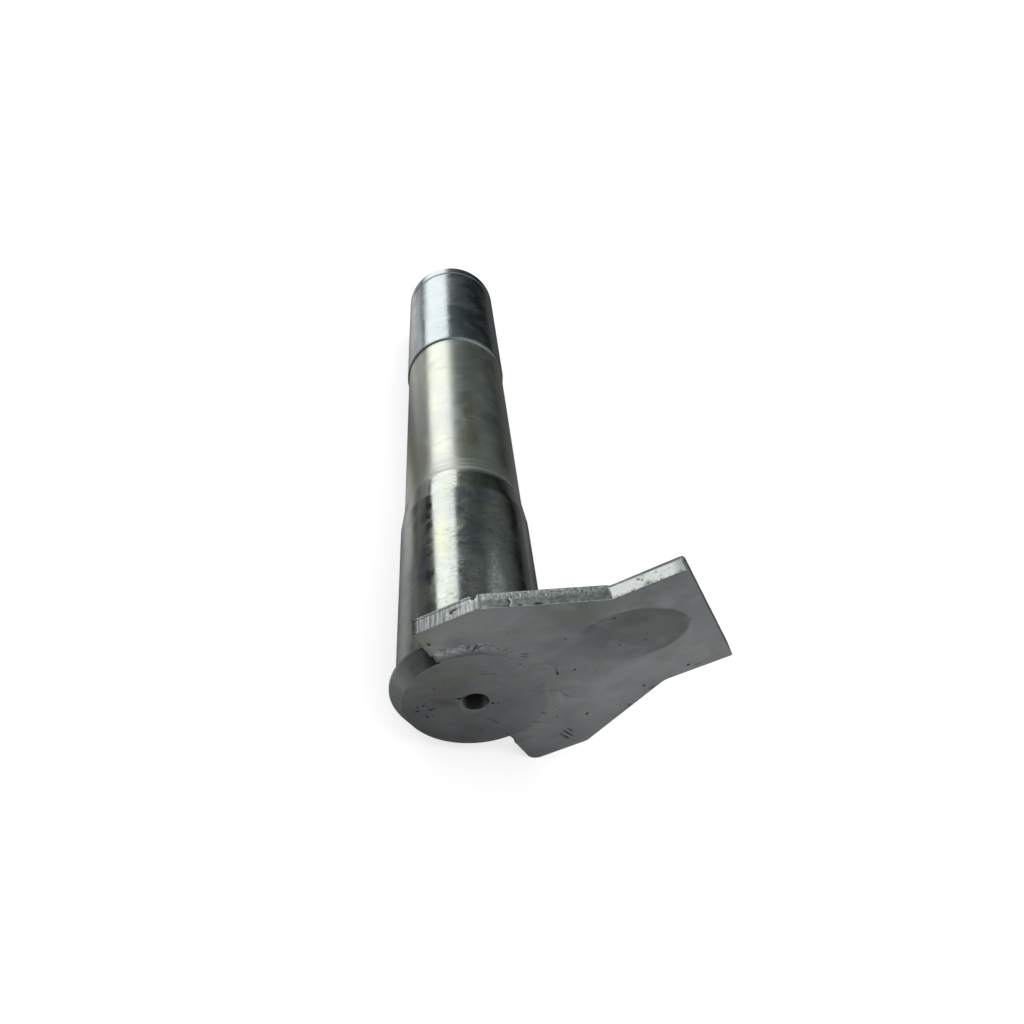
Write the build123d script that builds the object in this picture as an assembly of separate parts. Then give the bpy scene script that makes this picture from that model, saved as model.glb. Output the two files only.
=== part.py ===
from build123d import *
import math
import os

# Plough pin: a turned, zinc plated bar with a welded anti-turn flag plate.
# Frame: the pin axis is the Y axis and +Y points to the free tip.  Y = 0 is the
# seating plane, where the flag plate's rear face bears on the plough's lug.
# +Z is up with the pin lying as it comes to rest: on its collar, on its tip and
# on the lower corner of the flag plate.

# ---- driving dimensions, millimetres -------------------------------------
PLATE_T = 6.0            # flag plate and collar thickness
ROOT_R = 25.0            # root land, carried in the near lug
MID_R = 23.75            # relieved middle
TIP_R = 24.5             # tip land, carried in the far lug
COLLAR_R = 27.0          # collar that the plate is fitted round
FACE_R = 22.8            # head face, inside the weld bevel
BEVEL_L = 5.0            # axial length of the weld bevel on the collar
ROOT_END = 71.5          # end of the root land
TAPER_END = 83.6         # end of the long run-out taper
SHOULDER_Y = 191.0       # start of the tip land
TIP_END = 279.0          # end face of the tip
TIP_CHAMFER = 1.5
GROOVE_Y = 270.5         # centre of the narrow ring groove near the tip
GROOVE_W = 2.2
GROOVE_D = 1.2
EDGE_BREAK = 0.25        # broken edge of the shoulder

HOLE_R = 4.25            # blind hole in the head
HOLE_DEPTH = 22.0        # full-diameter depth
HOLE_POINT = 118.0       # drill point angle, degrees
HOLE_BREAK = 0.35        # countersink of the mouth

WIDE_HALF = 39.2         # half width of the plate at the pin
TAIL_HALF = 22.0         # half width of the plate's tail
WIDE_U = 21.0            # length of the wide part, from the pin axis
TAIL_U = 55.0            # where the tail starts
END_U = 77.5             # end of the tail
PLATE_OFF = -1.4         # the plate sits this far off the axis, across its length
CORNER_R = 3.5           # rounded lower corner of the wide end
SIDE_R = 4.0             # rounded lower shoulder
NECK_R = 8.0             # hollow where the lower shoulder meets the tail
ROLL_R = 0.9             # rolled-over rear edge of the sheared plate
BURR_R = 0.15            # front edge of the sheared plate

WELD_LAP = 1.3           # bead lap on the plate's front face
WELD_RISE = 0.42         # bead height above the face

PLATE_ANGLE = 45.5       # plate's length above horizontal, about the Y axis

os.makedirs("parts", exist_ok=True)

FRONT = -PLATE_T         # Y of the head face and of the plate's front face


def uv(u, v, y=0.0):
    """A point of the plate's own plane in the part's frame."""
    a = math.radians(PLATE_ANGLE)
    return Vector(u * math.cos(a) - v * math.sin(a), y,
                  u * math.sin(a) + v * math.cos(a))


# ---- turned pin ------------------------------------------------------------
# Section in the XY plane (radius along X, length along Y), turned about Y.
g0, g1 = GROOVE_Y - GROOVE_W / 2, GROOVE_Y + GROOVE_W / 2
section = [
    (0, FRONT),
    (FACE_R, FRONT),
    (COLLAR_R, FRONT + BEVEL_L),
    (COLLAR_R, 0),
    (ROOT_R, 0),
    (ROOT_R, ROOT_END),
    (MID_R, TAPER_END),
    (MID_R, SHOULDER_Y),
    (TIP_R - EDGE_BREAK, SHOULDER_Y),
    (TIP_R, SHOULDER_Y + EDGE_BREAK),
    (TIP_R, g0),
    (TIP_R - GROOVE_D, g0),
    (TIP_R - GROOVE_D, g1),
    (TIP_R, g1),
    (TIP_R, TIP_END - TIP_CHAMFER),
    (TIP_R - TIP_CHAMFER, TIP_END),
    (0, TIP_END),
]
with BuildPart() as pin_b:
    with BuildSketch(Plane.XY):
        with BuildLine():
            Polyline(*section, close=True)
        make_face()
    revolve(axis=Axis.Y)
    # blind hole in the head, with its drill point and broken mouth
    point = HOLE_R / math.tan(math.radians(HOLE_POINT / 2))
    with BuildSketch(Plane.XY):
        with BuildLine():
            Polyline((0, FRONT - 1), (HOLE_R + HOLE_BREAK + 1, FRONT - 1),
                     (HOLE_R + HOLE_BREAK, FRONT), (HOLE_R, FRONT + HOLE_BREAK),
                     (HOLE_R, FRONT + HOLE_DEPTH),
                     (0, FRONT + HOLE_DEPTH + point), close=True)
        make_face()
    revolve(axis=Axis.Y, mode=Mode.SUBTRACT)
pin = pin_b.part.solids()[0]

# ---- flag plate ------------------------------------------------------------
# Plate plane: x = u (along the tail), y = v, normal = -Y of the part's frame.
ea = math.radians(PLATE_ANGLE)
plate_plane = Plane(origin=(0, 0, 0), x_dir=(math.cos(ea), 0, math.sin(ea)),
                    z_dir=(0, -1, 0))
top, bot = WIDE_HALF + PLATE_OFF, -WIDE_HALF + PLATE_OFF
ttop, tbot = TAIL_HALF + PLATE_OFF, -TAIL_HALF + PLATE_OFF
outline = [(0, top), (WIDE_U, top), (TAIL_U, ttop), (END_U, ttop),
           (END_U, tbot), (TAIL_U, tbot), (WIDE_U, bot), (0, bot)]

with BuildPart() as plate_b:
    with BuildSketch(plate_plane):
        with BuildLine():
            Polyline(*outline, close=True)
        make_face()
        vs = vertices()

        def near(u, v):
            return [w for w in vs if abs(w.X - u) < 0.01 and abs(w.Y - v) < 0.01]
        fillet(near(0, bot), CORNER_R)
        vs = vertices()
        fillet(near(WIDE_U, bot), SIDE_R)
        vs = vertices()
        fillet(near(TAIL_U, tbot), NECK_R)
        vs = vertices()
        fillet(near(END_U, ttop), 1.2)
    extrude(amount=PLATE_T)
    # rolled-over rear edge and nearly sharp front edge, all round the outside
    rear = [e for e in edges() if abs(e.center().Y) < 0.01]
    fillet(rear, ROLL_R)
    front = [e for e in edges() if abs(e.center().Y - FRONT) < 0.01]
    fillet(front, BURR_R)
    # half-round seat for the collar
    with BuildSketch(plate_plane.offset(-1)):
        Circle(COLLAR_R)
    extrude(amount=PLATE_T + 2, mode=Mode.SUBTRACT)
    # small nick that the cutting left in the upper shoulder's rear edge
    lean = uv(0, 0.26, -1.0).normalized()
    nick_plane = Plane(origin=uv(WIDE_U + 0.2, top - 0.1, 0.6),
                       x_dir=tuple(uv(1, 0)), z_dir=tuple(lean))
    with BuildSketch(nick_plane):
        with BuildLine():
            Polyline((-0.95, 0.9), (0.0, -1.35), (0.95, 0.9), close=True)
        make_face()
    extrude(amount=6.2, mode=Mode.SUBTRACT)
plate = plate_b.part.solids()[0]

# ---- weld bead -------------------------------------------------------------
# Fills the vee between the collar's bevel and the plate, half way round.
bevel_bottom = (COLLAR_R, FRONT + BEVEL_L)
with BuildPart() as weld_b:
    with BuildSketch(Plane.XY):
        with BuildLine():
            Polyline((FACE_R, FRONT), bevel_bottom, (COLLAR_R, FRONT),
                     (COLLAR_R + WELD_LAP, FRONT))
            ThreePointArc((COLLAR_R + WELD_LAP, FRONT),
                          ((FACE_R + COLLAR_R + WELD_LAP) / 2, FRONT - WELD_RISE),
                          (FACE_R, FRONT))
        make_face()
    revolve(axis=Axis.Y, revolution_arc=180.0)
weld = weld_b.part.solids()[0]
# the section starts at +X; turn the half ring so that it straddles the tail
mid = weld.center()
now = math.degrees(math.atan2(mid.Z, mid.X))
weld = weld.rotate(Axis.Y, now - PLATE_ANGLE)

for name, solid in (("pin", pin), ("flag_plate", plate), ("weld_bead", weld)):
    solid.label = name
    export_step(solid, f"parts/{name}.step")
    bb = solid.bounding_box()
    print(name, "volume", round(solid.volume), "box",
          [round(c, 2) for c in (bb.min.X, bb.min.Y, bb.min.Z, bb.max.X, bb.max.Y, bb.max.Z)])

total = pin.volume + plate.volume + weld.volume
cx = sum(s.volume * s.center().X for s in (pin, plate, weld)) / total
cy = sum(s.volume * s.center().Y for s in (pin, plate, weld)) / total
cz = sum(s.volume * s.center().Z for s in (pin, plate, weld)) / total
print("centre of mass", round(cx, 3), round(cy, 2), round(cz, 3))
c2 = weld.center()
print("weld centre angle", round(math.degrees(math.atan2(c2.Z, c2.X)), 2))
for a, b, n in ((pin, plate, "pin/flag_plate"), (pin, weld, "pin/weld_bead"),
                (plate, weld, "flag_plate/weld_bead")):
    common = a.intersect(b)
    vol = 0.0
    if common is not None:
        parts = common if isinstance(common, (list, ShapeList)) else [common]
        vol = sum(getattr(s, "volume", 0.0) for s in parts)
    print("shared volume", n, round(vol, 4))
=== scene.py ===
import math

import bpy
import numpy as np
from mathutils import Matrix, Vector, noise
from mathutils.geometry import delaunay_2d_cdt
from mathutils.kdtree import KDTree


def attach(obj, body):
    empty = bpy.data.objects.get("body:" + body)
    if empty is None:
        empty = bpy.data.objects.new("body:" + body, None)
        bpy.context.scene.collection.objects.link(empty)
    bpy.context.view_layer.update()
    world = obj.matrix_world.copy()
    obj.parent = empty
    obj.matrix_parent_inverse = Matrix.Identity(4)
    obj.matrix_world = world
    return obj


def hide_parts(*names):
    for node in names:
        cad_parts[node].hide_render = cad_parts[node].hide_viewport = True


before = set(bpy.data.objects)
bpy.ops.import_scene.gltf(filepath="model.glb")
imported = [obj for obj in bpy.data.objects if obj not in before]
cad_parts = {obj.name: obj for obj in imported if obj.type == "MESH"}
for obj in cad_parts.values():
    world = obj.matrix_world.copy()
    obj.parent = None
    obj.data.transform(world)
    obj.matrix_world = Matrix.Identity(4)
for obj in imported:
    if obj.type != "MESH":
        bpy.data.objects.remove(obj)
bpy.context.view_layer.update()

MM = 0.001
ANG = math.radians(45.5)          # the flag plate's length above horizontal, about Y
CA, SA = math.cos(ANG), math.sin(ANG)
scene = bpy.context.scene


# ============================================================== helpers
def sstep(a, b, x):
    t = np.clip((np.asarray(x, float) - a) / (b - a), 0.0, 1.0)
    return t * t * (3 - 2 * t)


def pnoise(pts, scale, seed=0.0):
    """Smooth noise in -1..1 at points in mm."""
    return np.array([noise.noise(Vector((p[0] * scale + seed, p[1] * scale - seed,
                                         p[2] * scale + 2 * seed))) for p in pts])


def uv_to_xyz(u, v, y):
    u, v = np.asarray(u, float), np.asarray(v, float)
    return np.stack([u * CA - v * SA, np.broadcast_to(y, u.shape), u * SA + v * CA], -1)


def seg_dist(u, v, x0, y0, x1, y1):
    """Distance from points to a segment, and the share along it."""
    dx, dy = x1 - x0, y1 - y0
    t = np.clip(((u - x0) * dx + (v - y0) * dy) / (dx * dx + dy * dy), 0, 1)
    return np.hypot(u - x0 - t * dx, v - y0 - t * dy), t


def make_object(name, verts_mm, faces, mats, face_mat, attrs=None, sharp=35.0):
    me = bpy.data.meshes.new(name)
    me.from_pydata([tuple(p) for p in np.asarray(verts_mm) * MM], [], faces)
    for m in mats:
        me.materials.append(m)
    me.polygons.foreach_set("material_index", np.asarray(face_mat, np.int32))
    me.polygons.foreach_set("use_smooth", np.ones(len(me.polygons), bool))
    for key, values in (attrs or {}).items():
        a = me.attributes.new(key, "FLOAT", "POINT")
        a.data.foreach_set("value", np.asarray(values, np.float32))
    me.validate()
    me.update()
    me.set_sharp_from_angle(angle=math.radians(sharp))
    ob = bpy.data.objects.new(name, me)
    scene.collection.objects.link(ob)
    return ob


# ============================================================== marks on the front
# Pits, scratches and grinding marks on the head face and the plate's front, in
# the plate's own (u, v) millimetres: (u, v, radius, depth).
PITS = [(-16.2, 8.0, 0.42, 0.07), (-14.4, 7.6, 0.50, 0.11), (-17.5, 6.1, 0.58, 0.12),
        (-13.6, 4.5, 0.62, 0.12), (-12.4, 4.5, 0.44, 0.10), (-16.4, 1.9, 0.60, 0.12),
        (-14.8, 1.0, 0.34, 0.05), (-13.1, 8.2, 0.36, 0.06), (-13.4, 6.3, 0.34, 0.06),
        (-18.2, 8.0, 0.30, 0.04), (-15.4, 5.2, 0.26, 0.04), (-11.6, 6.4, 0.26, 0.04),
        (4.4, -3.4, 0.52, 0.15), (5.7, -4.4, 0.34, 0.09), (4.9, -4.7, 0.24, 0.05),
        (-5.6, -14.4, 0.34, 0.12), (0.2, -21.3, 0.42, 0.14),
        (2.3, 31.8, 0.52, 0.26), (33.2, -2.4, 0.36, 0.12),
        (27.2, -25.9, 0.52, 0.15), (36.7, 12.4, 0.30, 0.08), (52.3, 12.9, 0.44, 0.07),
        (56.6, -1.2, 0.34, 0.14), (49.4, 0.8, 0.30, 0.07), (38.6, -6.4, 0.26, 0.06),
        (48.4, -22.3, 0.46, 0.15), (64.0, -20.1, 0.44, 0.15), (66.2, -21.4, 0.24, 0.08),
        (71.3, 0.4, 0.28, 0.06), (45.4, 13.2, 0.24, 0.05), (24.0, 24.0, 0.20, 0.04),
        (12.8, 31.0, 0.20, 0.03), (66.0, -12.6, 0.20, 0.03), (-8.6, -6.2, 0.18, 0.03),
        (8.4, -16.4, 0.18, 0.03), (41.8, -14.6, 0.20, 0.03), (20.4, 9.2, 0.30, 0.08),
        (21.0, 7.6, 0.26, 0.07), (-7.2, 13.0, 0.40, 0.03), (15.9, 5.1, 0.22, 0.03)]
# (u0, v0, u1, v1, half width, depth, soil)
SCRATCHES = [
    (14.9, -31.2, 15.9, -35.4, 0.30, 0.11, 0.85), (16.6, -30.0, 17.9, -35.2, 0.34, 0.14, 1.0),
    (18.3, -29.7, 19.2, -33.1, 0.30, 0.12, 0.95), (15.7, -33.4, 16.4, -35.8, 0.26, 0.10, 0.9),
    (7.7, 11.9, 10.0, 10.6, 0.24, 0.05, 0.50), (10.0, 10.6, 12.6, 8.6, 0.22, 0.05, 0.45),
    (8.2, 13.0, 11.2, 11.2, 0.16, 0.02, 0.25),
    (8.2, 7.0, 10.4, 4.6, 0.14, 0.03, 0.30), (10.4, 4.6, 12.6, 1.6, 0.14, 0.03, 0.28),
    (14.3, -2.0, 23.9, -11.4, 0.13, 0.03, 0.30), (23.9, -11.4, 26.8, -14.6, 0.16, 0.04, 0.45),
    (26.8, -14.6, 33.0, -19.7, 0.12, 0.03, 0.24), (33.0, -19.7, 37.6, -25.0, 0.12, 0.02, 0.20),
    (-1.7, -8.8, -0.4, -10.8, 0.30, 0.05, 0.36), (-0.4, -10.8, 0.9, -14.1, 0.40, 0.05, 0.42),
    (14.9, -16.9, 16.3, -18.1, 0.26, 0.07, 0.75), (10.0, -19.8, 12.4, -21.4, 0.17, 0.05, 0.60),
    (18.6, -21.0, 17.8, -23.1, 0.15, 0.04, 0.60), (28.3, 1.2, 28.1, -0.2, 0.20, 0.06, 0.65),
    (28.1, -0.2, 27.7, -1.8, 0.32, 0.11, 1.0), (23.9, 4.6, 22.6, 1.8, 0.13, 0.03, 0.35),
    (20.1, -6.4, 25.6, -9.6, 0.18, 0.04, 0.35), (24.8, -10.6, 26.2, -14.6, 0.26, 0.05, 0.36),
    (28.0, -15.6, 31.2, -15.4, 0.26, 0.04, 0.20), (19.9, -14.6, 20.6, -19.0, 0.15, 0.04, 0.30),
    (45.0, 15.2, 47.2, 13.8, 0.20, 0.03, 0.0), (66.6, -21.0, 68.2, -21.6, 0.22, 0.05, 0.5),
    (49.4, -24.8, 52.0, -24.7, 0.45, 0.10, 0.60), (40.2, -29.6, 41.4, -28.8, 0.30, 0.08, 0.75),
    (20.9, 29.6, 24.8, 26.4, 0.15, 0.03, 0.12), (23.6, 27.9, 27.6, 23.6, 0.15, 0.03, 0.12),
    (24.9, 30.6, 27.4, 29.9, 0.15, 0.03, 0.12), (14.6, 34.8, 17.2, 33.7, 0.18, 0.04, 0.26),
    # strokes where the weld's toe overlaps the plate
    (2.3, 24.2, 5.6, 27.4, 0.15, 0.06, 0.75), (5.4, 27.5, 8.6, 26.6, 0.16, 0.06, 0.55),
    (2.6, 28.2, 5.5, 27.5, 0.17, 0.06, 0.65), (4.3, 24.6, 7.2, 27.0, 0.15, 0.05, 0.55),
    (10.4, 24.3, 12.3, 25.2, 0.24, 0.08, 0.90), (11.7, 22.9, 14.0, 24.2, 0.32, 0.14, 1.0),
    (13.2, 22.9, 15.0, 23.5, 0.20, 0.09, 0.9), (8.6, 24.6, 10.6, 25.6, 0.14, 0.05, 0.45),
    (15.6, 20.9, 17.4, 21.8, 0.15, 0.05, 0.45), (17.6, 19.2, 19.2, 19.9, 0.16, 0.05, 0.50),
    (19.0, 17.6, 21.0, 18.0, 0.18, 0.06, 0.55), (20.6, 16.1, 22.2, 16.2, 0.14, 0.04, 0.40),
    (22.4, 13.7, 24.8, 12.0, 0.22, 0.06, 0.75), (21.8, 12.6, 24.2, 10.8, 0.20, 0.06, 0.65),
    (25.4, 6.7, 27.2, 5.6, 0.16, 0.04, 0.22), (24.4, 4.6, 26.8, 3.0, 0.16, 0.04, 0.22),
    (15.4, 23.0, 18.6, 20.6, 0.13, 0.04, 0.26), (19.2, 20.4, 22.0, 16.8, 0.13, 0.04, 0.20),
    (3.6, 23.6, 9.2, 21.4, 0.14, 0.03, 0.20), (9.2, 21.4, 13.4, 19.4, 0.14, 0.03, 0.18),
]
# bright marks: (u0, v0, u1, v1, half width, strength); the first three, near the head's rim, are a painted highlight
# along its edge, the rest are freshly rubbed marks
RUBS = [(-12.3, 18.6, -10.6, 19.0, 0.30, 0.75), (-10.4, 18.5, -8.4, 18.5, 0.22, 0.60),
        (-13.6, 18.0, -12.2, 18.3, 0.34, 0.45), (-12.2, 16.8, -11.0, 17.6, 0.40, 0.20),
        (25.4, 7.2, 27.4, 6.0, 0.22, 0.38), (24.4, 5.2, 27.0, 3.6, 0.20, 0.38),
        (23.7, 4.4, 22.4, 1.2, 0.16, 0.35), (14.8, -2.8, 18.4, -6.2, 0.13, 0.35),
        (21.6, -5.6, 20.4, -10.4, 0.55, 0.34), (24.2, -10.6, 22.9, -15.6, 0.70, 0.36),
        (24.9, -11.2, 24.4, -13.2, 0.35, 0.45), (29.6, -19.0, 31.6, -21.0, 0.22, 0.42),
        (36.6, -24.4, 37.8, -25.6, 0.16, 0.35),
        (27.6, -7.2, 31.6, -9.0, 1.20, 0.22), (12.4, -23.4, 13.6, -25.6, 0.60, 0.26),
        (3.4, -23.6, 7.8, -25.6, 0.90, 0.34), (9.0, -25.8, 11.2, -26.6, 0.45, 0.22),
        (45.2, 15.0, 47.0, 13.9, 0.26, 0.45), (26.3, -25.0, 26.8, -25.4, 0.26, 0.60),
        (62.6, -20.8, 63.6, -20.9, 0.26, 0.55), (46.8, -22.3, 47.6, -22.4, 0.26, 0.45),
        (-0.9, -20.8, -0.3, -21.2, 0.24, 0.45), (0.7, -21.6, 1.1, -22.2, 0.20, 0.45),
        (50.3, 0.7, 50.9, 0.4, 0.20, 0.35), (5.1, -2.9, 5.5, -3.4, 0.18, 0.35),
        (16.3, -32.6, 17.2, -35.6, 0.22, 0.50), (17.9, -31.0, 18.7, -33.6, 0.20, 0.50),
        (1.4, 31.6, 1.0, 33.6, 0.26, 0.45), (7.4, 10.8, 8.8, 10.2, 0.22, 0.14),
        (-2.9, 6.9, -3.9, 5.0, 0.16, 0.30), (-15.3, 7.2, -14.9, 6.4, 0.20, 0.30),
        (26.6, 3.6, 28.4, 2.4, 0.15, 0.30), (4.6, 12.9, 5.6, 13.6, 0.30, 0.20)]


def front_marks(u, v):
    """Depth into the face (mm), soil 0..1 and rub 0..1 at points of the front."""
    u, v = np.asarray(u, float), np.asarray(v, float)
    depth, soil_and_shade, rub_and_highlight = np.zeros_like(u), np.zeros_like(u), np.zeros_like(u)
    for k, (pu, pv, r, d) in enumerate(PITS):
        near = np.hypot(u - pu, v - pv) < r * 2.6
        if not near.any():
            continue
        du, dv = u[near] - pu, v[near] - pv
        a = np.arctan2(dv, du)
        rr = r * (1 + 0.22 * np.sin(2 * a + k) + 0.12 * np.sin(3 * a + 2.1 * k))
        q = np.hypot(du, dv) / rr
        depth[near] += d * np.clip(1 - q ** 2, 0, None) - 0.12 * d * np.exp(-((q - 1.25) / 0.22) ** 2)
        soil_and_shade[near] = np.maximum(soil_and_shade[near], min(1.0, 0.35 + 3.2 * d) * (1 - sstep(0.75, 1.3, q)))
    for x0, y0, x1, y1, w, d, s in SCRATCHES:
        q, t = seg_dist(u, v, x0, y0, x1, y1)
        taper = 0.35 + 0.65 * np.sin(np.pi * np.clip(t * 0.92 + 0.04, 0, 1))
        q = q / (w * taper)
        near = q < 3
        depth[near] += d * np.exp(-(q[near] ** 2)) * taper[near]
        soil_and_shade[near] = np.maximum(soil_and_shade[near], s * np.exp(-(q[near] ** 2) * 0.9))
    for x0, y0, x1, y1, w, s in RUBS:
        q, t = seg_dist(u, v, x0, y0, x1, y1)
        rub_and_highlight = np.maximum(rub_and_highlight, s * np.exp(-((q / w) ** 2)))
    return depth, soil_and_shade, rub_and_highlight


# ============================================================== materials
class Tree:
    """A small builder for one node material."""

    def __init__(self, name):
        self.mat = bpy.data.materials.new(name)
        self.mat.use_nodes = True
        self.nt = self.mat.node_tree
        self.nt.nodes.clear()
        self.out = self.nt.nodes.new("ShaderNodeOutputMaterial")
        self.bsdf = self.nt.nodes.new("ShaderNodeBsdfPrincipled")
        self.nt.links.new(self.bsdf.outputs[0], self.out.inputs["Surface"])
        self.obj = self.nt.nodes.new("ShaderNodeTexCoord").outputs["Object"]

    def put(self, socket, value):
        if hasattr(value, "links") or isinstance(value, bpy.types.NodeSocket):
            self.nt.links.new(value, socket)
        elif isinstance(value, (tuple, list)) and len(value) == 3 and socket.type == "RGBA":
            socket.default_value = (*value, 1.0)
        else:
            socket.default_value = value

    def math(self, op, a, b=None, c=None, clamp=False):
        n = self.nt.nodes.new("ShaderNodeMath")
        n.operation = op
        n.use_clamp = clamp
        for i, x in enumerate((a, b, c)):
            if x is not None:
                self.put(n.inputs[i], x)
        return n.outputs[0]

    def add(self, *terms):
        out = terms[0]
        for t in terms[1:]:
            out = self.math("ADD", out, t)
        return out

    def mul(self, *terms):
        out = terms[0]
        for t in terms[1:]:
            out = self.math("MULTIPLY", out, t)
        return out

    def remap(self, x, a, b, c=0.0, d=1.0, smooth=True):
        n = self.nt.nodes.new("ShaderNodeMapRange")
        n.interpolation_type = "SMOOTHSTEP" if smooth else "LINEAR"
        self.put(n.inputs["Value"], x)
        for key, val in (("From Min", a), ("From Max", b), ("To Min", c), ("To Max", d)):
            self.put(n.inputs[key], val)
        return n.outputs["Result"]

    def mapping(self, vec, loc=(0, 0, 0), rot=(0, 0, 0), scale=(1, 1, 1)):
        n = self.nt.nodes.new("ShaderNodeMapping")
        self.put(n.inputs["Vector"], vec)
        n.inputs["Location"].default_value = loc
        n.inputs["Rotation"].default_value = rot
        n.inputs["Scale"].default_value = scale
        return n.outputs["Vector"]

    def noise(self, vec, scale, detail=3.0, rough=0.5, distortion=0.0):
        n = self.nt.nodes.new("ShaderNodeTexNoise")
        self.put(n.inputs["Vector"], vec)
        n.inputs["Scale"].default_value = scale
        n.inputs["Detail"].default_value = detail
        n.inputs["Roughness"].default_value = rough
        n.inputs["Distortion"].default_value = distortion
        return n.outputs["Fac"]

    def noise_vec(self, vec, scale, detail=2.0):
        n = self.nt.nodes.new("ShaderNodeTexNoise")
        self.put(n.inputs["Vector"], vec)
        n.inputs["Scale"].default_value = scale
        n.inputs["Detail"].default_value = detail
        return n.outputs["Color"]

    def voronoi(self, vec, scale, feature="F1"):
        n = self.nt.nodes.new("ShaderNodeTexVoronoi")
        n.feature = feature
        self.put(n.inputs["Vector"], vec)
        n.inputs["Scale"].default_value = scale
        return n.outputs["Distance"]

    def vmath(self, op, a, b):
        n = self.nt.nodes.new("ShaderNodeVectorMath")
        n.operation = op
        self.put(n.inputs[0], a)
        if b is not None:
            self.put(n.inputs[1], b)
        return n.outputs["Value"] if op in ("LENGTH", "DOT_PRODUCT") else n.outputs["Vector"]

    def xyz(self, vec):
        n = self.nt.nodes.new("ShaderNodeSeparateXYZ")
        self.put(n.inputs[0], vec)
        return n.outputs

    def mix(self, fac, a, b, blend="MIX"):
        n = self.nt.nodes.new("ShaderNodeMix")
        n.data_type = "RGBA"
        n.blend_type = blend
        self.put(n.inputs["Factor"], fac)
        self.put(n.inputs[6], a)
        self.put(n.inputs[7], b)
        return n.outputs[2]

    def attr(self, name):
        n = self.nt.nodes.new("ShaderNodeAttribute")
        n.attribute_name = name
        return n.outputs["Fac"]

    def bump(self, height):
        n = self.nt.nodes.new("ShaderNodeBump")
        n.inputs["Strength"].default_value = 1.0
        n.inputs["Distance"].default_value = 1.0
        self.put(n.inputs["Height"], height)
        return n.outputs["Normal"]

    def ellipse(self, vec, cx, cy, rx, ry, rot=0.0, wobble=None, wob=0.0):
        """Normalised radius of an ellipse in the (u, v) plane; u, v in metres."""
        if wobble is not None:
            off = self.vmath("SUBTRACT", wobble, (0.5, 0.5, 0.5))
            off = self.vmath("MULTIPLY", off, (wob, 0.0, wob))
            vec = self.vmath("ADD", vec, off)
        vec = self.vmath("SUBTRACT", vec, (cx, 0.0, cy))
        c, s = math.cos(rot), math.sin(rot)
        a = self.vmath("DOT_PRODUCT", vec, (c / rx, 0.0, s / rx))
        b = self.vmath("DOT_PRODUCT", vec, (-s / ry, 0.0, c / ry))
        return self.math("SQRT", self.add(self.math("POWER", a, 2.0), self.math("POWER", b, 2.0)))

    def finish(self, color, rough, normal=None, metallic=1.0, aniso=0.0, tangent=False):
        b = self.bsdf
        self.put(b.inputs["Base Color"], color)
        self.put(b.inputs["Roughness"], rough)
        b.inputs["Metallic"].default_value = metallic
        if normal is not None:
            self.put(b.inputs["Normal"], normal)
        if tangent:
            # the grooves run round the axis, so the gloss spreads along it
            b.inputs["Anisotropic"].default_value = aniso
            b.inputs["Anisotropic Rotation"].default_value = 0.25
            t = self.nt.nodes.new("ShaderNodeTangent")
            t.direction_type = "RADIAL"
            t.axis = "Y"
            self.nt.links.new(t.outputs[0], b.inputs["Tangent"])
        return self.mat


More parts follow.
